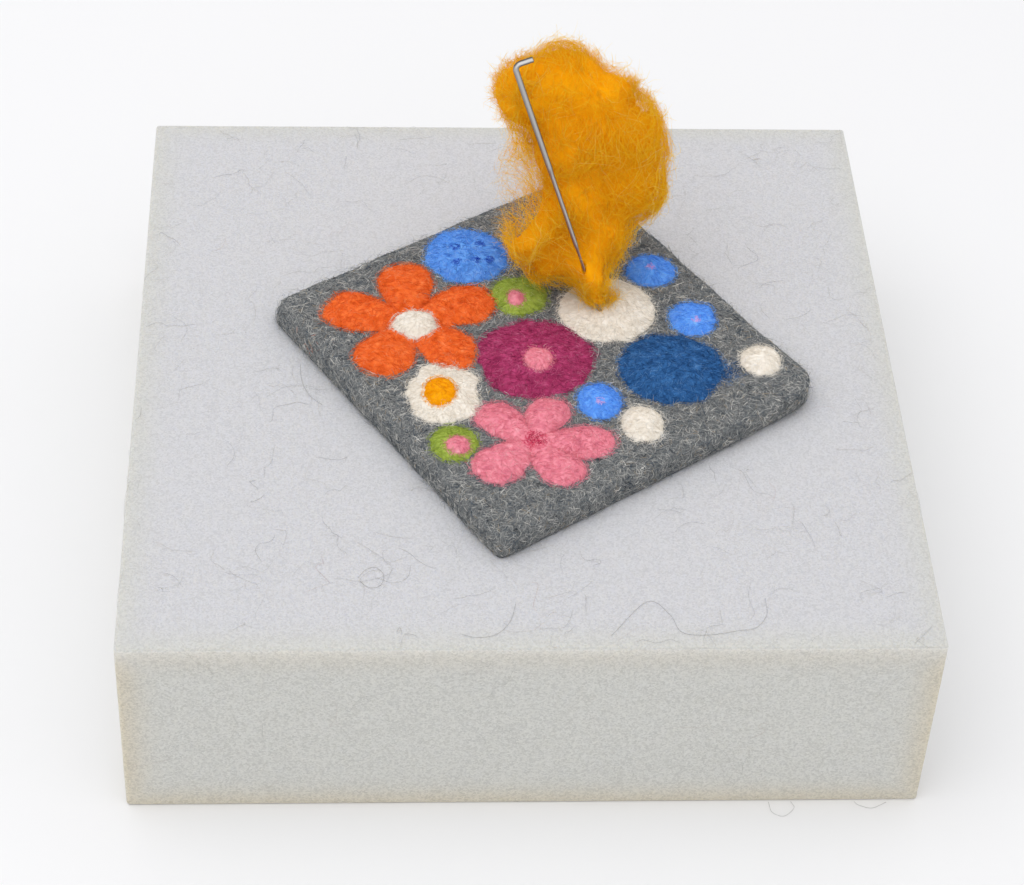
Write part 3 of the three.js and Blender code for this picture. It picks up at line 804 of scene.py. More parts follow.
def rounded_box(low, high, spacing, radius):
    """A box with rounded edges: its vertices, the direction out of it at each, and its faces."""
    low, high = np.array(low), np.array(high)
    lines = [grid_lines(low[axis], high[axis], spacing, radius) for axis in range(3)]
    vertices, faces = box_skin(lines)
    inner = np.clip(vertices, low + radius, high - radius)
    out = vertices - inner
    out /= np.linalg.norm(out, axis=1, keepdims=True)
    return inner + radius * out, out, faces


def sweep(rings):
    """A closed skin through rings of equal count, ended by a flat fan at both ends."""
    count = len(rings[0])
    vertices = np.concatenate([*rings, [np.mean(rings[0], axis=0)], [np.mean(rings[-1], axis=0)]])
    faces = []
    for r in range(len(rings) - 1):
        for k in range(count):
            after = (k + 1) % count
            a = r * count
            faces.append([a + k, a + after, a + count + after, a + count + k])
    first = len(rings) * count
    last = (len(rings) - 1) * count
    for k in range(count):
        after = (k + 1) % count
        faces.append([first, after, k])
        faces.append([first + 1, last + k, last + after])
    return vertices, faces


def tube(path, radius, sides):
    """A closed tube along a path, as vertices and faces. The radius is one value or one for each point."""
    path = np.asarray(path)
    along = np.gradient(path, axis=0)
    along /= np.linalg.norm(along, axis=1, keepdims=True)
    side = np.cross(along[0], (0.31, 0.52, 0.79))
    rings = []
    for place, heading, reach in zip(path, along, np.broadcast_to(radius, len(path))):
        side = side - heading * (side @ heading)
        side = side / np.linalg.norm(side)
        up = np.cross(heading, side)
        angles = even_turns(sides)
        rings.append(place + reach * (np.outer(np.cos(angles), side) + np.outer(np.sin(angles), up)))
    return sweep(rings)


def smooth_line(points, steps):
    """A smooth line through given points, with the given steps between two of them."""
    points = np.asarray(points, float)
    ends = np.concatenate([[2 * points[0] - points[1]], points, [2 * points[-1] - points[-2]]])
    line = []
    for i in range(1, len(ends) - 2):
        a, b, c, d = ends[i - 1 : i + 3]
        for t in np.arange(steps) / steps:
            bend = 2 * a - 5 * b + 4 * c - d
            line.append((2 * b + (c - a) * t + bend * t**2 + (3 * b - a - 3 * c + d) * t**3) / 2)
    return np.array([*line, points[-1]])


def felt_to_frame():
    """The felt square's own frame, on the foam: across, along and up."""
    settings = bpy.context.scene.felting_felt
    low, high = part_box("felt_base")
    middle = (low + high) / 2
    return Matrix.Translation((middle.x, middle.y, low.z)) @ Matrix.Rotation(settings.turn, 4, "Z")


def flat_on_felt(points):
    """How far points lie from the felt's middle, across and along it."""
    local = np.array(felt_to_frame().inverted())
    return np.abs((points @ local[:3, :3].T + local[:3, 3])[:, :2])


def needle_joint():
    """The slide that the needle stabs along."""
    return next(j for j in frame["joints"] if j["name"] == "needle_stab")


def needle_frame():
    """The needle's frame: its point, its crank's side, across that, and up its axis."""
    axis = needle_joint()["axis"]
    up = np.array(axis) / np.linalg.norm(axis)
    points = places(frame["nodes"]["felting_needle"].data)
    point = points[np.argmin(points @ up)]
    aside = points - point
    aside = aside - np.outer(aside @ up, up)
    reach = np.linalg.norm(aside, axis=1)
    side = aside[reach > reach.max() * 0.98].mean(0)
    side /= np.linalg.norm(side)
    return point, side, np.cross(up, side), up


# The needle's track widens with the needle: heights above its point, and radii there
TRACK_HEIGHTS = [20 * MM, 27 * MM, 46 * MM]
TRACK_RADII = [0.5 * MM, 0.68 * MM, 0.9 * MM]
# How far the track goes on under the deepest stab
TRACK_ROOM = 0.4 * MM


def pierce(piece, top):
    """Opens the needle's track in a piece, from under its deepest stab to a height above its point."""
    point, side, across, up = needle_frame()
    start = needle_joint()["range_m"][0] - TRACK_ROOM
    heights = [h for h in (start, 5 * MM, *TRACK_HEIGHTS) if h < top] + [top]
    radii = np.interp(heights, TRACK_HEIGHTS, TRACK_RADII)
    cut_out(piece, new_piece("needle_track", *tube([point + up * h for h in heights], radii, 14)))


# A pad's sectors, the width between its rings, the raggedness of its rim, and the sizes of its lumps
PAD_SECTORS = 56
RING_WIDTH = 0.95 * MM
RIM_WOBBLE = 0.07
BROAD_LUMP = 3.4 * MM
FINE_LUMP = 1.5 * MM
# A dimple left by the needle, and how many there are for a pad of 1 mm mean radius
PRICK_WIDTH = 0.75 * MM
PRICK_SHARE = 0.16
# Half the width of a petal's wool where it meets the heart of its flower
PETAL_NECKS = {"orange": 4.2 * MM, "pink": 3.4 * MM}
# How wool spread under the needle, where it did so most: wider and deeper at each rim, and shifted, in mm
SPREADS = {
    "daisy": ((0, 2.5), (0.6, 1.2)),
    "daisy_centre": ((-0.4, 1.1), (-0.5, 0.7)),
    "berry_disc_centre": ((-0.2, 0.1), (0.8, -1.6)),
    "orange_flower_centre": ((0.4, 0), (0.6, -1.2)),
    "pink_flower_centre": ((0.8, 0.8), (1.2, 0)),
    "green_dot_back": ((0.4, 0.5), (-0.4, 1.1)),
    "green_dot_back_centre": ((-0.4, 0.2), (-1.2, -0.8)),
    "green_dot_front": ((0, 0.4), (0.3, 0.9)),
    "green_dot_front_centre": ((0.1, 0), (1.2, -0.7)),
    "blue_dot_back": ((0.6, 0.5), (0.2, 1.6)),
    "blue_dot_back_centre": ((0, 0), (0, 1.6)),
    "blue_dot_right": ((0, 0.8), (-0.2, 1.3)),
    "blue_dot_right_centre": ((0, 0), (0.5, -0.2)),
    "blue_dot_front": ((-0.4, 0.6), (0.2, 1)),
    "blue_dot_front_centre": ((0, 0), (0.4, -0.3)),
    "white_dot_right": ((0, 0.5), (0.2, 1)),
    "white_dot_front": ((0, 1.5), (0.3, 0.9)),
    "navy_disc": ((0.4, 0), (0.2, 1.3)),
    "orange_petal": ((0.2, 0.2), (-0.4, 0.8)),
    "pink_petal": ((0, 0), (0.2, 0.6)),
    "sky_speck": ((0.7, 0.7), (-0.4, -1)),
}


def underside(node):
    """The edges of a solid's underside, as the starts and the ends of lines in the plane."""
    mesh = frame["nodes"][node].data
    points = places(mesh)
    low = points[:, 2].min()
    under = [f.vertices for f in mesh.polygons if all(points[v][2] < low + 0.05 * MM for v in f.vertices)]
    starts = np.array([points[f[k]][:2] for f in under for k in range(3)])
    ends = np.array([points[f[(k + 1) % 3]][:2] for f in under for k in range(3)])
    return starts, ends


def outline_of(node, sectors):
    """A pad's outline: its middle, and its reach in even sectors round it, from the solid's underside."""
    starts, ends = underside(node)
    if "_petal_" in node:
        # A petal's wool runs on in to the heart of its flower.
        heart = underside(node.split("_petal_")[0] + "_flower_centre")[0].mean(0)
        root = heart + 0.18 * (starts.mean(0) - heart)
        neck = PETAL_NECKS[node.split("_")[0]]
        cloud = [*starts, *(root + neck * headings(even_turns(12)))]
        starts = np.array([cloud[k] for k in geometry.convex_hull_2d([Vector(p) for p in cloud])])
        ends = np.roll(starts, -1, axis=0)
    middle = (starts.min(0) + starts.max(0)) / 2
    reach = []
    angles = even_turns(sectors)
    for way in headings(angles):
        left = np.array([-way[1], way[0]])
        a, b = (starts - middle) @ left, (ends - middle) @ left
        crossed = a * b <= 0
        share = a[crossed] / np.where(a[crossed] == b[crossed], 1, a[crossed] - b[crossed])
        hit = starts[crossed] + share[:, None] * (ends[crossed] - starts[crossed])
        reach.append(((hit - middle) @ way).max())
    padded = np.concatenate([reach[-2:], reach, reach[:2]])
    soft = np.convolve(padded, np.array([1, 2, 3, 2, 1]) / 9, "valid")
    (wider, deeper), shift = SPREADS.get(node.rstrip("_12345"), ((0.1, 0.1), (0, 0.4)))
    soft = soft + (wider * np.cos(angles) ** 2 + deeper * np.sin(angles) ** 2) * MM
    return middle + np.array(shift) * MM, soft


def fibres_left(points, nodes, fade):
    """The share of fibres left at each point, where wool pads cover what is below them."""
    sectors = PAD_SECTORS
    left = np.ones(len(points))
    for node in nodes:
        middle, reach = outline_of(node, sectors)
        out = points[:, :2] - middle
        sector = np.round(np.arctan2(out[:, 1], out[:, 0]) / (2 * np.pi) * sectors).astype(int) % sectors
        outside = np.linalg.norm(out, axis=1) - reach[sector]
        left = np.minimum(left, np.clip(0.5 + outside / fade, 0.03, 1))
    return left


def wool_pad(node, number, ground):
    """A needled pad in place of its solid: a soft dome with lumps and dimples, draped on what is below."""
    settings = bpy.context.scene.felting_motif
    low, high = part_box(node)
    height = (high.z - low.z) * (0.2 if sprinkled_on(node) else settings.height)
    sectors = PAD_SECTORS
    middle, reach = outline_of(node, sectors)
    ways = headings(even_turns(sectors))
    rim = np.column_stack([ways, np.full(sectors, number)])
    wobble = RIM_WOBBLE * unevenness(rim, 0.6, number) + RIM_WOBBLE * unevenness(rim, 0.2, number)
    ragged = 1.5 if node == "daisy" else 1
    reach = reach * (1 + ragged * wobble) - np.minimum(settings.inset, 0.12 * reach)
    ring_count = max(6, int(reach.max() / RING_WIDTH))
    shares = np.linspace(0, 1, ring_count + 1)[1:]
    flat = np.concatenate([[middle], *(middle + (share * reach)[:, None] * ways for share in shares)])
    share = np.concatenate([[0], np.repeat(shares, sectors)])
    base = []
    for place in flat:
        hit = ground.ray_cast(Vector((*place, 1)), Vector((0, 0, -1)))[0]
        base.append(hit.z if hit else low.z)
    base = np.array(base)
    dome = np.clip(1 - share**2.6, 0, 1) ** 1.25
    spots = np.column_stack([flat, np.full(len(flat), number * 7 * MM)])
    lumps = unevenness(spots, BROAD_LUMP, 1) + 0.5 * unevenness(spots, FINE_LUMP, 2)
    dimples = pricks(number, flat, middle, reach)
    soft = min(1, height / MM)
    rise = dome * (height + soft * (settings.lump * lumps - settings.prick * dimples))
    top = np.column_stack([flat, base + rise])
    skirt = np.column_stack([flat[-sectors:], base[-sectors:] - settings.sink])
    under = [[*middle, base.min() - settings.sink]]
    vertices = np.concatenate([top, skirt, under])
    faces = [[0, 1 + k, 1 + (k + 1) % sectors] for k in range(sectors)]
    for r in range(ring_count):
        inner = 1 + r * sectors
        outer = inner + sectors
        for k in range(sectors):
            after = (k + 1) % sectors
            faces.append([inner + k, outer + k, outer + after, inner + after])
    last = 1 + ring_count * sectors
    faces += [[len(vertices) - 1, last + (k + 1) % sectors, last + k] for k in range(sectors)]
    piece = new_piece(node + "_wool", vertices, faces)
    hidden = np.zeros(sectors + 1)
    cover = 1 - 0.4 * share**5
    if sprinkled_on(node):
        cover *= np.clip(1.5 + 2.5 * unevenness(spots, 1.3 * MM, 4), 0, 1) * (1 - 0.5 * share**2)
    store(piece, "cover", np.concatenate([cover, hidden]))
    store(piece, "rim", np.concatenate([share**4, hidden]))
    store(piece, "stray", np.concatenate([settings.stray + (math.pi - settings.stray) * share**3, hidden]))
    store(piece, "tone", 0.45 + 0.45 * unevenness(vertices, 1.6 * MM, 3))
    store(piece, "lay", lie_of(node, vertices, middle), "FLOAT_VECTOR", "vector")
    return piece


def pricks(number, ground, middle, reach):
    """How deep the needle's dimples are at each point of a pad, from 0 to 1."""
    draw = np.random.default_rng(number)
    count = int((reach.mean() / MM) ** 2 * PRICK_SHARE)
    depth = np.zeros(len(ground))
    for angle, share in zip(draw.uniform(0, 2 * np.pi, count), np.sqrt(draw.uniform(0, 0.85, count))):
        place = middle + share * reach.mean() * np.array([np.cos(angle), np.sin(angle)])
        away = np.linalg.norm(ground - place, axis=1)
        depth = np.maximum(depth, np.exp(-((away / PRICK_WIDTH) ** 2)))
    return depth


def lie_of(node, vertices, middle):
    """The way that a pad's fibres lie: along a petal, and round and round elsewhere."""
    out = vertices[:, :2] - middle
    if "petal" in node:
        spread = np.cov(out.T)
        way = np.linalg.eigh(spread)[1][:, -1]
        return np.column_stack([np.tile(way, (len(out), 1)), np.zeros(len(out))])
    return np.column_stack([-out[:, 1], out[:, 0], np.zeros(len(out))])


def sprinkled_on(node):
    """The slot of the wool that shows through a thin sprinkling, or none for a full pad."""
    if "_speck_" in node:
        return "wool_sky"
    if node.startswith("blue_dot_") and node.endswith("_centre"):
        return "wool_bright_blue"
    if node == "pink_flower_centre":
        return "wool_pink"
    return None


def wool_nodes(kind):
    """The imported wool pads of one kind, with their slots."""
    slots = {part["node"]: part["material_slot"] for part in frame["record"]["subparts"]}
    kinds = {
        "discs": lambda name: name.endswith("_disc"),
        "flowers": lambda name: "_petal_" in name,
        "dots": lambda name: name == "daisy" or "_dot_" in name and not name.endswith("_centre"),
        "hearts": lambda name: "_speck_" in name or name.endswith("_centre"),
    }
    return {node: slot for node, slot in slots.items() if kinds[kind](node)}


def lay_pads(kind, first):
    """Makes every wool pad of one kind, bare of fibres, on the felt or on the pads laid before."""
    below = [bpy.data.objects["felt_square"]]
    if kind == "hearts":
        below += [piece for piece in bpy.data.objects if piece.name.endswith("_wool")]
    ground = BVHTree.FromPolygons(*joined_faces(below))
    for number, (node, slot) in enumerate(wool_nodes(kind).items(), first):
        pad = wool_pad(node, number, ground)
        pad.data.materials.append(dyed_wool(sprinkled_on(node) or slot))
        if node == "cream_disc":
            pierce(pad, 22 * MM)


def joined_faces(pieces):
    """The vertices and faces of several pieces, as one mesh."""
    vertices = []
    faces = []
    for piece in pieces:
        start = len(vertices)
        vertices += places(piece.data).tolist()
        faces += [[start + v for v in face.vertices] for face in piece.data.polygons]
    return vertices, faces


# Operators


class FELTING_OT_stage(bpy.types.Operator):
    """Makes the floor, the soft light and the camera."""

    bl_idname = "felting.stage"
    bl_label = "Stage"

    def execute(self, context):
        scene = context.scene
        scene.view_settings.view_transform = "Standard"
        floor = new_piece("floor", [[-3, -3, 0], [3, -3, 0], [3, 3, 0], [-3, 3, 0]], [[0, 1, 2, 3]])
        floor.data.materials.append(plain_material("white_painted_table", linear("#f3f3f4"), 0.6))
        scene.world = self.daylight()
        lamp = bpy.data.lights.new("window", "AREA")
        lamp.size = 1.6
        lamp.energy = 8.0
        light = bpy.data.objects.new("window", lamp)
        light.location = (-0.5, -0.3, 1.6)
        light.rotation_mode = "QUATERNION"
        light.rotation_quaternion = (Vector((0, 0, 0.05)) - light.location).to_track_quat("-Z", "Y")
        scene.collection.objects.link(light)
        scene.camera = photo_camera(scene)
        return {"FINISHED"}

    def daylight(self):
        """Even daylight, a little dimmer near the horizon, behind a plain white backdrop."""
        world = bpy.data.worlds.new("soft_daylight")
        world.use_nodes = True
        tree = world.node_tree
        backdrop = tree.nodes["Background"]
        way = add_node(tree, "ShaderNodeTexCoord").outputs["Generated"]
        split = add_node(tree, "ShaderNodeSeparateXYZ", None, {0: way}).outputs
        ray = add_node(tree, "ShaderNodeLightPath").outputs
        sky = map_range(tree, split[2], 0.78, 0.98)
        # What polished steel mirrors: a bright window behind the camera in a darker room.
        room = map_range(tree, split[1], 2.0, 0.2, -0.85, 0.1)
        unseen = mix_values(tree, ray["Is Glossy Ray"], sky, room)
        strength = mix_values(tree, ray["Is Camera Ray"], unseen, 1.0)
        set_inputs(tree, backdrop, {"Strength": strength, "Color": linear("#fcfcfd")})
        return world


def photo_camera(scene):
    """The camera, as the photograph's perspective gives it."""
    azimuth, elevation, roll = (math.radians(a) for a in (-4.46615, 43.61753, 3.08663))
    target = Vector((-2.583, -30.926, 58.005)) * MM
    distance = 725.65 * MM
    level_share = math.cos(elevation)
    back = Vector((math.sin(azimuth) * level_share, -math.cos(azimuth) * level_share, math.sin(elevation)))
    level = Vector((0, 0, 1)).cross(back).normalized()
    upright = back.cross(level)
    right = math.cos(roll) * level + math.sin(roll) * upright
    up = math.cos(roll) * upright - math.sin(roll) * level
    lens = bpy.data.cameras.new("camera")
    lens.sensor_width = 36
    lens.lens = 99.44
    lens.clip_start = 0.05
    lens.clip_end = 20
    camera = bpy.data.objects.new("camera", lens)
    turn = Matrix((right, up, back)).transposed().to_4x4()
    camera.matrix_world = Matrix.Translation(target + back * distance) @ turn
    scene.collection.objects.link(camera)
    return camera


class FELTING_OT_foam_mat(bpy.types.Operator):
    """Makes the foam block with its sawn faces and the needle's track."""

    bl_idname = "felting.foam_mat"
    bl_label = "Foam mat"

    def execute(self, context):
        settings = context.scene.felting_foam
        low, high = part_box("foam_block")
        points, out, faces = rounded_box(low, high, settings.spacing, settings.edge)
        # Sawn foam is finely rough and a little wavy, but its underside lies flat.
        lift = np.clip((points[:, 2] - low.z) / (2 * MM), 0, 1)
        rough = settings.grain * (unevenness(points, 1.9 * MM, 1) + 2 * unevenness(points, 40 * MM, 2) - 1)
        points = points + out * (rough * lift)[:, None]
        foam = new_piece("foam_mat", points, faces)
        foam.data.materials.append(foam_material(settings))
        pierce(foam, 30 * MM)
        points = places(foam.data)
        depths = np.abs(np.concatenate([points - np.array(low), points - np.array(high)], 1))
        nearest_edge = np.partition(depths, 1, axis=1)[:, 1]
        store(foam, "edge", np.exp(-((nearest_edge / settings.glow) ** 2)))
        crest = 0.5 * np.clip((points[:, 2] - high.z) / (2 * settings.glow) + 1, 0, 1) ** 2
        store(foam, "upper", np.where(points[:, 2] > high.z - 0.5 * MM, 1, crest))
        finish_piece(foam, "mat", "foam", "foam_block", fill=1.0)
        return {"FINISHED"}


# Single fibres that lie on the foam, as places across it in mm
LYING_FIBRES = (
    (
        *((18.6, -98), (28, -87), (33.2, -91.3), (35.6, -97), (41.7, -98), (49.5, -96.6)),
        *((53.7, -95.7), (56.8, -91.4), (56.9, -85.8)),
    ),
    (
        *((-42.1, -78.7), (-40.1, -76), (-37.7, -75.3), (-35.8, -78)),
        *((-36.8, -81.4), (-39.4, -82), (-41.6, -80)),
    ),
    ((-17.3, -97.5), (-13.6, -98.5), (-9, -97.5), (-5.6, -93.4), (-3.9, -87.2)),
    ((-57.2, -1.4), (-56.6, -8), (-54.5, -13.4), (-51.3, -16.9)),
    ((-32.8, -96.5), (-32.1, -95.2), (-31.6, -97.2)),
)
# Single fibres that lie on the table in front of the block, in mm
FALLEN_FIBRES = (
    ((61.9, -102.4), (62.5, -105.7), (65.4, -107), (68.2, -104.4), (67.6, -102.4)),
    ((83.8, -102.5), (84.8, -103.6), (88.1, -104.6), (92, -102.7)),
)
# Tones of the stray fibres
STRAY_TONES = ((0, "#8c8d8e"), (0.4, "#a9a9a8"), (0.75, "#bdbab5"), (1, "#cbb0ab"))


class FELTING_OT_stray_fibres(bpy.types.Operator):
    """Scatters stray wool over the foam, and lays a few longer fibres along given lines."""

    bl_idname = "felting.stray_fibres"
    bl_label = "Stray fibres"

    def execute(self, context):
        settings = context.scene.felting_foam
        foam = bpy.data.objects["foam_mat"]
        low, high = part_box("foam_block")
        wool = wool_material("stray_wool", STRAY_TONES)
        points = places(foam.data)
        cover = np.where(points[:, 2] > high.z - 0.6 * MM, 1.0, 0.3)
        cover[points[:, 2] < low.z + 4 * MM] = 0
        cover[self.under_felt(points)] = 0
        scatter = new_piece("stray_fibres", points, [f.vertices for f in foam.data.polygons])
        store(scatter, "cover", cover)
        store(scatter, "stray", np.full(len(points), math.pi))
        grown(
            scatter,
            fibre_coat_tree(),
            {
                "Relief": foam,
                "Fibres per square mm": 0.009,
                "Fibre Length": 9 * MM,
                "Fibre Width": 0.5 * settings.hair,
                "Steps": 12,
                "Bend Size": 8 * MM,
                "Bend": 6 * MM,
                "Lift": 0.25 * MM,
                "Dip": 0.0,
                "Loose Share": 0.1,
                "Loose Height": 1.5 * MM,
                "Keep Surface": False,
                "Seed": 77,
                "Wool": wool,
            },
        )
        finish_piece(scatter, "mat", "felt_grey")
        lines = [[(x, y, high.z / MM + 0.15) for x, y in line] for line in LYING_FIBRES]
        lines += [[(x, y, 0.2) for x, y in line] for line in FALLEN_FIBRES]
        vertices = []
        faces = []
        for line in lines:
            skin, ring = tube(smooth_line(np.array(line) * MM, 8), 0.4 * settings.hair, 5)
            faces += [[len(vertices) + v for v in face] for face in ring]
            vertices += skin.tolist()
        laid = new_piece("laid_fibres", vertices, faces)
        store(laid, "tone", np.full(len(vertices), 0.35))
        laid.data.materials.append(wool)
        finish_piece(laid, "mat", "felt_grey")
        return {"FINISHED"}

    def under_felt(self, points):
        """Which points lie under the felt square."""
        settings = bpy.context.scene.felting_felt
        return (flat_on_felt(points) < (settings.width / 2, settings.length / 2)).all(1)


# The felt's corners, as their sides across and along, and their radii: the front one is the sharpest
FELT_CORNERS = ((1, 1, 8 * MM), (-1, 1, 4.5 * MM), (-1, -1, 1.2 * MM), (1, -1, 8 * MM))


class FELTING_OT_felt_square(bpy.types.Operator):
    """Makes the body of the felt square: uneven, soft-edged, each corner rounded as the wool drew in."""

    bl_idname = "felting.felt_square"
    bl_label = "Felt square"

    def execute(self, context):
        settings = context.scene.felting_felt
        low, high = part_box("felt_base")
        half = np.array([settings.width / 2, settings.length / 2])
        thickness = high.z - low.z
        # The lower edge is pressed flat on the foam.
        foot, top = (*-half, -settings.foot), (*half, thickness)
        points, out, faces = rounded_box(foot, top, settings.spacing, settings.edge)
        flat = points[:, :2]
        for across, along, radius in FELT_CORNERS:
            beyond = np.maximum(flat * (across, along) - (half - radius), 0)
            square = beyond.max(1)
            ring = np.linalg.norm(beyond, axis=1)
            shrink = np.where(ring > 0, 1 - square / np.where(ring > 0, ring, 1), 0)
            flat = flat - beyond * shrink[:, None] * (across, along)
        drawn = np.clip(0.5 - flat @ (0.5, 0.5) / (2 * half.mean()), 0, 1)
        points[:, :2] = flat + (0, settings.shift) - (settings.draw * drawn**2)[:, None]
        lift = np.clip(points[:, 2] / (2 * MM), 0, 1)
        lumps = unevenness(points, 11 * MM, 4) + 0.35 * unevenness(points, 3 * MM, 5)
        points = points + out * (settings.lump * lumps * (0.25 + 0.75 * lift))[:, None]
        raised = np.clip(points[:, :2] @ (0.5, -0.5) / half.mean(), 0, 1) ** 6
        points[:, 2] = np.maximum(points[:, 2], 0) + settings.curl * raised
        place = np.array(felt_to_frame())
        felt = new_piece("felt_square", points @ place[:3, :3].T + place[:3, 3], faces)
        felt.data.materials.append(felt_body_material())
        pierce(felt, 30 * MM)
        finish_piece(felt, "work", "felt_grey", "felt_base", fill=0.9)
        return {"FINISHED"}


class FELTING_OT_discs(bpy.types.Operator):
    """Lays the four large wool discs."""

    bl_idname = "felting.discs"
    bl_label = "Wool discs"

    def execute(self, context):
        lay_pads("discs", 1)
        return {"FINISHED"}


class FELTING_OT_flowers(bpy.types.Operator):
    """Lays the petals of the two flowers."""

    bl_idname = "felting.flowers"
    bl_label = "Wool flowers"

    def execute(self, context):
        lay_pads("flowers", 11)
        return {"FINISHED"}


class FELTING_OT_dots(bpy.types.Operator):
    """Lays the daisy and the small dots."""

    bl_idname = "felting.dots"
    bl_label = "Wool dots"

    def execute(self, context):
        lay_pads("dots", 31)
        return {"FINISHED"}


class FELTING_OT_hearts(bpy.types.Operator):
    """Lays the centres and specks on the crowns of other pads."""

    bl_idname = "felting.hearts"
    bl_label = "Wool centres"

    def execute(self, context):
        lay_pads("hearts", 51)
        return {"FINISHED"}


# Wisps of dyed wool that strayed over the felt: slot, place in mm, how wide, and fibres per square mm
SPILLS = (
    ("wool_orange", (-55, 0.5, 64.5), 3.5 * MM, 0.35),
    ("wool_orange", (-50.5, 8.5, 65), 3 * MM, 0.35),
    ("wool_navy", (53.9, -11.8, 65), 2.8 * MM, 14.0),
)


class FELTING_OT_fibres(bpy.types.Operator):
    """Covers the felt and every wool pad with fibres that follow their relief."""

    bl_idname = "felting.fibres"
    bl_label = "Surface fibres"

    def execute(self, context):
        felt = bpy.data.objects["felt_square"]
        pads = {}
        for kind in ("discs", "flowers", "dots", "hearts"):
            pads.update(wool_nodes(kind))
        bare = [felt] + [bpy.data.objects[node + "_wool"] for node in pads]
        relief = new_piece("relief", *joined_faces(bare))
        self.grow_nap(context.scene.felting_felt, felt, relief, pads)
        self.grow_wool(context.scene.felting_motif, relief, pads)
        remove(relief)
        return {"FINISHED"}

    def grow_nap(self, settings, felt, relief, pads):
        """The grey fibres, thin under the wool and on the underside."""
        points = places(felt.data)
        low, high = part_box("felt_base")
        cover = np.where(points[:, 2] < low.z + 1 * MM, 0.15, 1.0)
        top = points[:, 2] > high.z - 2.5 * MM
        cover[top] *= fibres_left(points[top], pads, 2.2 * MM)
        rim = np.clip(1 - self.depth_in_felt(settings, points) / (3 * MM), 0, 1)
        grey = wool_material("heather_wool", HEATHER_TONES, "CONSTANT")
        # Length, width, steps, bend, loose share and loose height of the fibres
        fur = (settings.fibre, settings.fibre_width, 3, 0.7 * MM, 0.08, 1.2 * MM)
        long_fur = (2.4 * settings.fibre, 0.55 * settings.fibre_width, 6, 2 * MM, 0.8, 2.2 * MM)
        clumps = (1.2 * settings.fibre, 1.7 * settings.fibre_width, *fur[2:])
        layers = [(grey, 1.25 * cover, *fur), (grey, 1.25 * cover, *fur), (grey, 0.9 * cover, *clumps)]
        layers.append((grey, 0.28 * cover * (0.12 + rim), *long_fur))
        for slot, place, radius, dense in SPILLS:
            away = np.linalg.norm(points - np.array(place) * MM, axis=1)
            layers.append((dyed_wool(slot), dense * np.exp(-((away / radius) ** 2)), *fur))
        for number, (wool, dense, reach, width, steps, bend, loose, height) in enumerate(layers):
            nap = new_piece(f"felt_nap_{number + 1}", points, [f.vertices for f in felt.data.polygons])
            store(nap, "cover", dense)
            store(nap, "stray", np.full(len(points), math.pi))
            grown(
                nap,
                fibre_coat_tree(),
                {
                    "Relief": relief,
                    "Fibres per square mm": 1.0,
                    "Fibre Length": reach,
                    "Fibre Width": width,
                    "Steps": steps,
                    "Bend Size": 2 * MM,
                    "Bend": bend,
                    "Lift": 0.14 * MM,
                    "Dip": 0.08 * MM,
                    "Loose Share": loose,
                    "Loose Height": height,
                    "Keep Surface": False,
                    "Seed": 100 + number,
                    "Wool": wool,
                },
            )
            finish_piece(nap, "work", "felt_grey")

    def depth_in_felt(self, settings, points):
        """How far each point lies in from the felt's outline."""
        return np.min((settings.width / 2, settings.length / 2) - flat_on_felt(points), axis=1)

    def grow_wool(self, settings, relief, pads):
        """The dyed fibres of each pad, which run a little over its rim but not over a heart on it."""
        hearts = wool_nodes("hearts")
        for number, (node, slot) in enumerate(pads.items()):
            pad = bpy.data.objects[node + "_wool"]
            small = min(1.0, 0.45 + (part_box(node)[1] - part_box(node)[0]).x / (22 * MM))
            dense = 3.6 / small
            if sprinkled_on(node):
                small *= 0.75
                dense *= 3.2
            if node not in hearts:
                self.thin_out(pad, fibres_left(places(pad.data), hearts, 1 * MM))
            # Longer fibres feather out over the rim, and a close coat covers the rest.
            passes = [(pad, dense, 1.0, 3)]
            if not sprinkled_on(node):
                passes.insert(0, (self.fringe_of(settings, pad, node), 1.5 * dense, 1.3, 4))
            for count, (piece, density, reach, steps) in enumerate(passes):
                grown(
                    piece,
                    fibre_coat_tree(),
                    {
                        "Relief": relief,
                        "Fibres per square mm": density,
                        "Fibre Length": settings.fibre * small * reach,
                        "Fibre Width": settings.fibre_width,
                        "Steps": steps,
                        "Bend Size": 2.5 * MM,
                        "Bend": 0.8 * MM * small * reach,
                        "Lift": 0.16 * MM,
                        "Dip": 0.06 * MM,
                        "Loose Share": 0.12,
                        "Loose Height": 0.8 * MM,
                        "Keep Surface": piece == pad,
                        "Seed": 200 + 2 * number + count,
                        "Wool": dyed_wool(slot),
                    },
                )
            if not sprinkled_on(node):
                both = [piece for piece, density, reach, steps in passes]
                with bpy.context.temp_override(active_object=pad, selected_editable_objects=both):
                    bpy.ops.object.join()
            finish_piece(pad, "work", slot, node, fill=0.8)

    def fringe_of(self, settings, pad, node):
        """A copy of a pad's skin that reaches a little beyond it, to sow fibres along its rim."""
        fringe = pad.copy()
        fringe.data = pad.data.copy()
        bpy.context.scene.collection.objects.link(fringe)
        rim = np.zeros(len(pad.data.vertices), np.float32)
        pad.data.attributes["rim"].data.foreach_get("value", rim)
        self.thin_out(fringe, rim)
        middle, reach = outline_of(node, 8)
        points = places(fringe.data)
        points[:, :2] += (points[:, :2] - middle) * (settings.feather / reach.mean())
        fringe.data.vertices.foreach_set("co", points.ravel())
        return fringe

    def thin_out(self, piece, shares):
        """Lowers the cover at each of a piece's vertices to a share of what it was."""
        cover = piece.data.attributes["cover"].data
        was = np.zeros(len(shares), np.float32)
        cover.foreach_get("value", was)
        cover.foreach_set("value", np.ascontiguousarray(was * shares, np.float32))


# Heights where the tuft begins to lean and where its root begins to widen, and the rise over which it leans
LEAN_FROM = 95 * MM
ROOT_FROM = 67 * MM
LEAN_RISE = 25 * MM


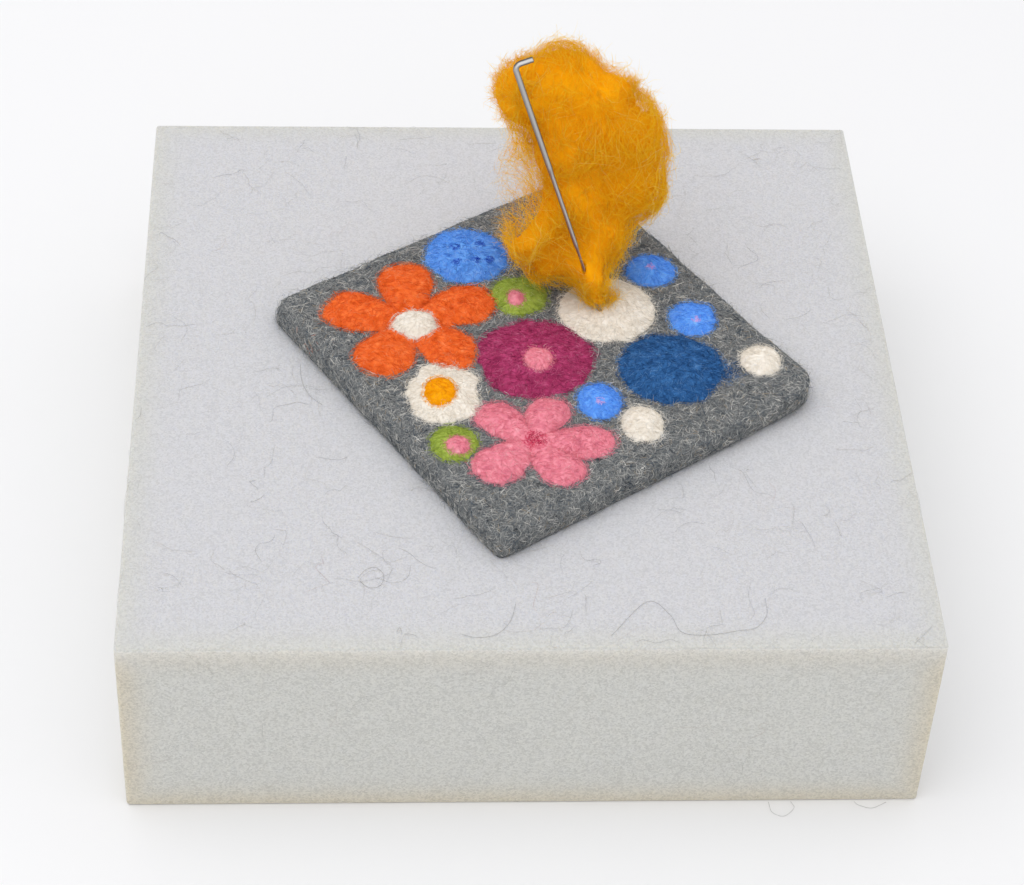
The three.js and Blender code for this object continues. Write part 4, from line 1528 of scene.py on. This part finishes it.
class FELTING_OT_wool_tuft(bpy.types.Operator):
    """Makes the tuft: a dense heart of wool, and curled strands over it that part round the needle."""

    bl_idname = "felting.wool_tuft"
    bl_label = "Loose wool"

    def execute(self, context):
        settings = context.scene.felting_tuft
        point, side, across, up = needle_frame()
        tree = loose_wool_tree()
        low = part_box("wool_tuft")[0]
        heart = self.tuft_form("tuft_heart", FULL_PLACES)
        for place, wide, gone in THIN_SPOTS:
            cut_out(heart, new_piece("hollow", *blob(place, (0.85 * wide,) * 3)))
        grown(heart, wool_heart_tree(), {"Depth": settings.depth})
        out = np.zeros(len(heart.data.vertices) * 3)
        heart.data.vertex_normals.foreach_get("vector", out)
        points = places(heart.data)
        points += out.reshape(-1, 3) * (settings.fold * self.folds(points))[:, None]
        points[:, 2] = np.maximum(points[:, 2], low.z - 0.2 * MM)
        heart.data.vertices.foreach_set("co", points.ravel())
        even_skin(heart, 0.9 * MM)
        settle(heart)
        # The heart's tone follows its folds, lighter where it folds out and darker where it folds in:
        # painted light and shade.
        store(heart, "tone", 0.5 + 0.2 * self.folds(places(heart.data)))
        heart.data.materials.clear()
        heart.data.materials.append(dyed_wool("wool_yellow"))
        pierce(heart, 95 * MM)
        finish_piece(heart, "work", "wool_yellow", "wool_tuft", fill=0.3)
        # Long strands that sweep up from the root, a short fuzz, and a thin halo, painted lighter than the
        # heart
        # as painted light, the halo palest: wool, density, length, curl, fluff and steps
        long_strands = ("loose_yellow", 0.34, settings.strand, settings.curl, settings.fluff, 8)
        fuzz = ("loose_yellow", 0.9, 0.4 * settings.strand, 0.5 * settings.curl, 0.6 * settings.fluff, 4)
        halo = ("halo_yellow", 0.4, 0.6 * settings.strand, 0.8 * settings.curl, 3 * settings.fluff, 6)
        layers = [long_strands, long_strands, fuzz, fuzz, halo]
        for number, (wool, dense, reach, curl, fluff, steps) in enumerate(layers):
            fleece = self.tuft_form(f"tuft_fleece_{number + 1}", VEILS + FULL_PLACES)
            grown(
                fleece,
                tree,
                {
                    "Strands per square mm": dense,
                    "Depth": -settings.depth,
                    "Strand Length": reach,
                    "Strand Width": settings.strand_width,
                    "Steps": steps,
                    "Curl": curl,
                    "Fluff": fluff,
                    "Root": tuple(point + up * 12 * MM),
                    "Needle Point": tuple(point),
                    "Needle Axis": tuple(up),
                    "Crank Side": tuple(side),
                    "Floor": low.z - 0.6 * MM,
                    "Seed": 350 + number,
                    "Wool": dyed_wool(wool),
                },
            )
            finish_piece(fleece, "work", "wool_yellow", fill=0.1)
        return {"FINISHED"}

    def folds(self, points):
        """How the heart folds in and out."""
        return unevenness(points, 7 * MM, 6) + 0.6 * unevenness(points, 3 * MM, 7)

    def tuft_form(self, name, added):
        """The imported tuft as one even, softened skin."""
        settings = bpy.context.scene.felting_tuft
        solid = frame["nodes"]["wool_tuft"].data
        point, side, across, up = needle_frame()
        points = places(solid)
        # The loose top leans to one side, and the needle draws the root tight.
        points[:, 0] -= settings.lean * np.clip((points[:, 2] - LEAN_FROM) / LEAN_RISE, 0, 1)
        height = (points - point) @ up
        aside = points - point - np.outer(height, up)
        near = np.linalg.norm(aside, axis=1)
        right = aside[:, 0] > 0
        tight = near < np.where(right, 14 * MM, 9 * MM)
        narrow = np.interp(points[:, 2] - ROOT_FROM, [0, 23 * MM], [settings.root, 1])
        wide = np.interp(points[:, 2] - ROOT_FROM, [0, 17 * MM], [0.6, 1])
        share = np.where(tight, np.where(right, narrow, wide), 1)
        points += aside * (share - 1)[:, None]
        faces = [list(f.vertices) for f in solid.polygons]
        for place, radii in added:
            veil, skin = blob(place, radii)
            faces += [[len(points) + v for v in face] for face in skin]
            points = np.concatenate([points, veil])
        form = new_piece(name, points, faces)
        weld = form.modifiers.new("weld", "WELD")
        weld.merge_threshold = 0.01 * MM
        even_skin(form, 1.3 * MM)
        soften = form.modifiers.new("soften", "SMOOTH")
        soften.iterations = 12
        settle(form)
        cover = np.ones(len(form.data.vertices))
        for place, wide, gone in THIN_SPOTS + (THIN_SMEAR,):
            away = np.linalg.norm(places(form.data) / MM - np.array(place), axis=1)
            cover -= gone * np.exp(-((away / wide) ** 2))
        store(form, "cover", np.maximum(cover, 0.06))
        return form


# The blade's barbs in mm: the lowest one's height, the steps between rows and edges, and a barb's length
# and depth
BARB_FOOT = 5.3
BARB_STEP = 2.1
BARB_STAGGER = 0.7
BARB_LENGTH = 0.5
BARB_DEPTH = 0.1
# The blade's edges, and the barbs on each
BLADE_EDGES = 3
BARB_ROWS = 3


class FELTING_OT_needle(bpy.types.Operator):
    """Makes the felting needle: cranked shank, reduced middle and three-edged, barbed blade."""

    bl_idname = "felting.needle"
    bl_label = "Felting needle"

    def execute(self, context):
        settings = context.scene.felting_needle
        point, side, across, up = needle_frame()
        sides = 30
        angles = even_turns(sides)
        skins = []
        for aside, height, lean, radius, edged in self.stations(settings):
            # A blade's section has three rounded edges with hollow flanks between them.
            reach = radius * (1 - edged * 0.15 * (1 - np.cos(BLADE_EDGES * angles)))
            reach = reach - edged * self.barb_cut(height, angles)
            outward = up * math.cos(lean) - side * math.sin(lean)
            middle = point + side * aside + up * height
            aslant = np.outer(reach * np.sin(angles), across)
            skins.append(middle + np.outer(reach * np.cos(angles), outward) + aslant)
        vertices, faces = sweep(skins)
        wire = new_piece("needle_wire", vertices, faces)
        wire.data.materials.append(steel_material(settings))
        self.map_wire(wire, sides, len(skins))
        finish_piece(wire, "needle", "needle_steel", "felting_needle")
        return {"FINISHED"}

    def stations(self, settings):
        """Sections from the crank's end down to the point: offset, height, lean, radius and edge share."""
        shank = settings.shank / 2
        rings = [(settings.crank, settings.top, 0, shank * 0.86, 0)]
        rings.append((settings.crank - 0.05 * MM, settings.top, 0, shank * 0.96, 0))
        rings.append((settings.crank - 0.16 * MM, settings.top, 0, shank, 0))
        for lean in np.linspace(0, math.pi / 2, 13):
            aside = settings.bend * (1 - math.sin(lean))
            height = settings.top - settings.bend * (1 - math.cos(lean))
            rings.append((aside, height, lean, shank, 0))
        stops = [
            (settings.middle_top + 1.3 * MM, shank, 0),
            (settings.middle_top - 1.3 * MM, settings.middle / 2, 0),
            (settings.blade_top + 1.5 * MM, settings.middle / 2, 0),
            (settings.blade_top - 1.5 * MM, settings.blade / 2, 1),
            (12 * MM, settings.blade / 2, 1),
            (3.2 * MM, settings.blade / 2, 1),
            (1.2 * MM, settings.blade * 0.26, 1),
            (0.12 * MM, settings.blade * 0.04, 0.5),
        ]
        for (top, wide, edged), (bottom, thin, sharp) in zip(stops, stops[1:]):
            count = 90 if top == 12 * MM else 8
            for share in np.arange(count) / count:
                ease = share * share * (3 - 2 * share)
                radius = wide + (thin - wide) * ease
                edge = edged + (sharp - edged) * ease
                rings.append((0, top + (bottom - top) * share, math.pi / 2, radius, edge))
        rings.append((0, stops[-1][0], math.pi / 2, stops[-1][1], 0.5))
        return rings

    def barb_cut(self, height, angles):
        """How deep the barbs cut the blade at a height: steep below, ramped above, three on each edge."""
        cut = np.zeros(len(angles))
        for edge in range(BLADE_EDGES):
            for row in range(BARB_ROWS):
                foot = (BARB_FOOT + BARB_STEP * row + BARB_STAGGER * edge) * MM
                share = (height - foot) / (BARB_LENGTH * MM)
                if 0 <= share <= 1:
                    turn = np.abs((angles - edge * 2 * np.pi / BLADE_EDGES + np.pi) % (2 * np.pi) - np.pi)
                    cut += BARB_DEPTH * MM * (1 - share) * np.clip(1 - turn / 0.5, 0, 1)
        return cut

    def map_wire(self, wire, sides, rings):
        """Maps the wire once round and once along, for the lines of its drawing."""
        layer = wire.data.uv_layers.new(name="wire")
        steps = ((0, 0), (1, 0), (1, 1), (0, 1))
        for face in wire.data.polygons:
            ring, k = divmod(face.index, sides)
            for corner, (round_step, along_step) in zip(face.loop_indices, steps):
                place = ((k + round_step) / sides, min(ring + along_step, rings) / rings)
                layer.data[corner].uv = place


class FELTING_PT_panel(bpy.types.Panel):
    """Lists the steps in the order in which they are made."""

    bl_idname = "FELTING_PT_panel"
    bl_label = "Needle felting mat"
    bl_space_type = "VIEW_3D"
    bl_region_type = "UI"
    bl_category = "Felting"

    def draw(self, context):
        for step in STEPS:
            self.layout.operator(step.bl_idname)


STEPS = (
    FELTING_OT_stage,
    FELTING_OT_foam_mat,
    FELTING_OT_stray_fibres,
    FELTING_OT_felt_square,
    FELTING_OT_discs,
    FELTING_OT_flowers,
    FELTING_OT_dots,
    FELTING_OT_hearts,
    FELTING_OT_fibres,
    FELTING_OT_wool_tuft,
    FELTING_OT_needle,
)
SETTINGS = {
    "felting_foam": FoamSettings,
    "felting_felt": FeltSettings,
    "felting_motif": MotifSettings,
    "felting_tuft": TuftSettings,
    "felting_needle": NeedleSettings,
}


def register():
    for group in SETTINGS.values():
        bpy.utils.register_class(group)
    for name, group in SETTINGS.items():
        setattr(bpy.types.Scene, name, bpy.props.PointerProperty(type=group))
    for step in STEPS:
        bpy.utils.register_class(step)
    bpy.utils.register_class(FELTING_PT_panel)


def unregister():
    bpy.utils.unregister_class(FELTING_PT_panel)
    for step in reversed(STEPS):
        bpy.utils.unregister_class(step)
    for name in SETTINGS:
        delattr(bpy.types.Scene, name)
    for group in SETTINGS.values():
        bpy.utils.unregister_class(group)


def main():
    """Registers the add-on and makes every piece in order."""
    register()
    for step in STEPS:
        group, name = step.bl_idname.split(".")
        getattr(getattr(bpy.ops, group), name)()


if __name__ == "__main__":
    main()
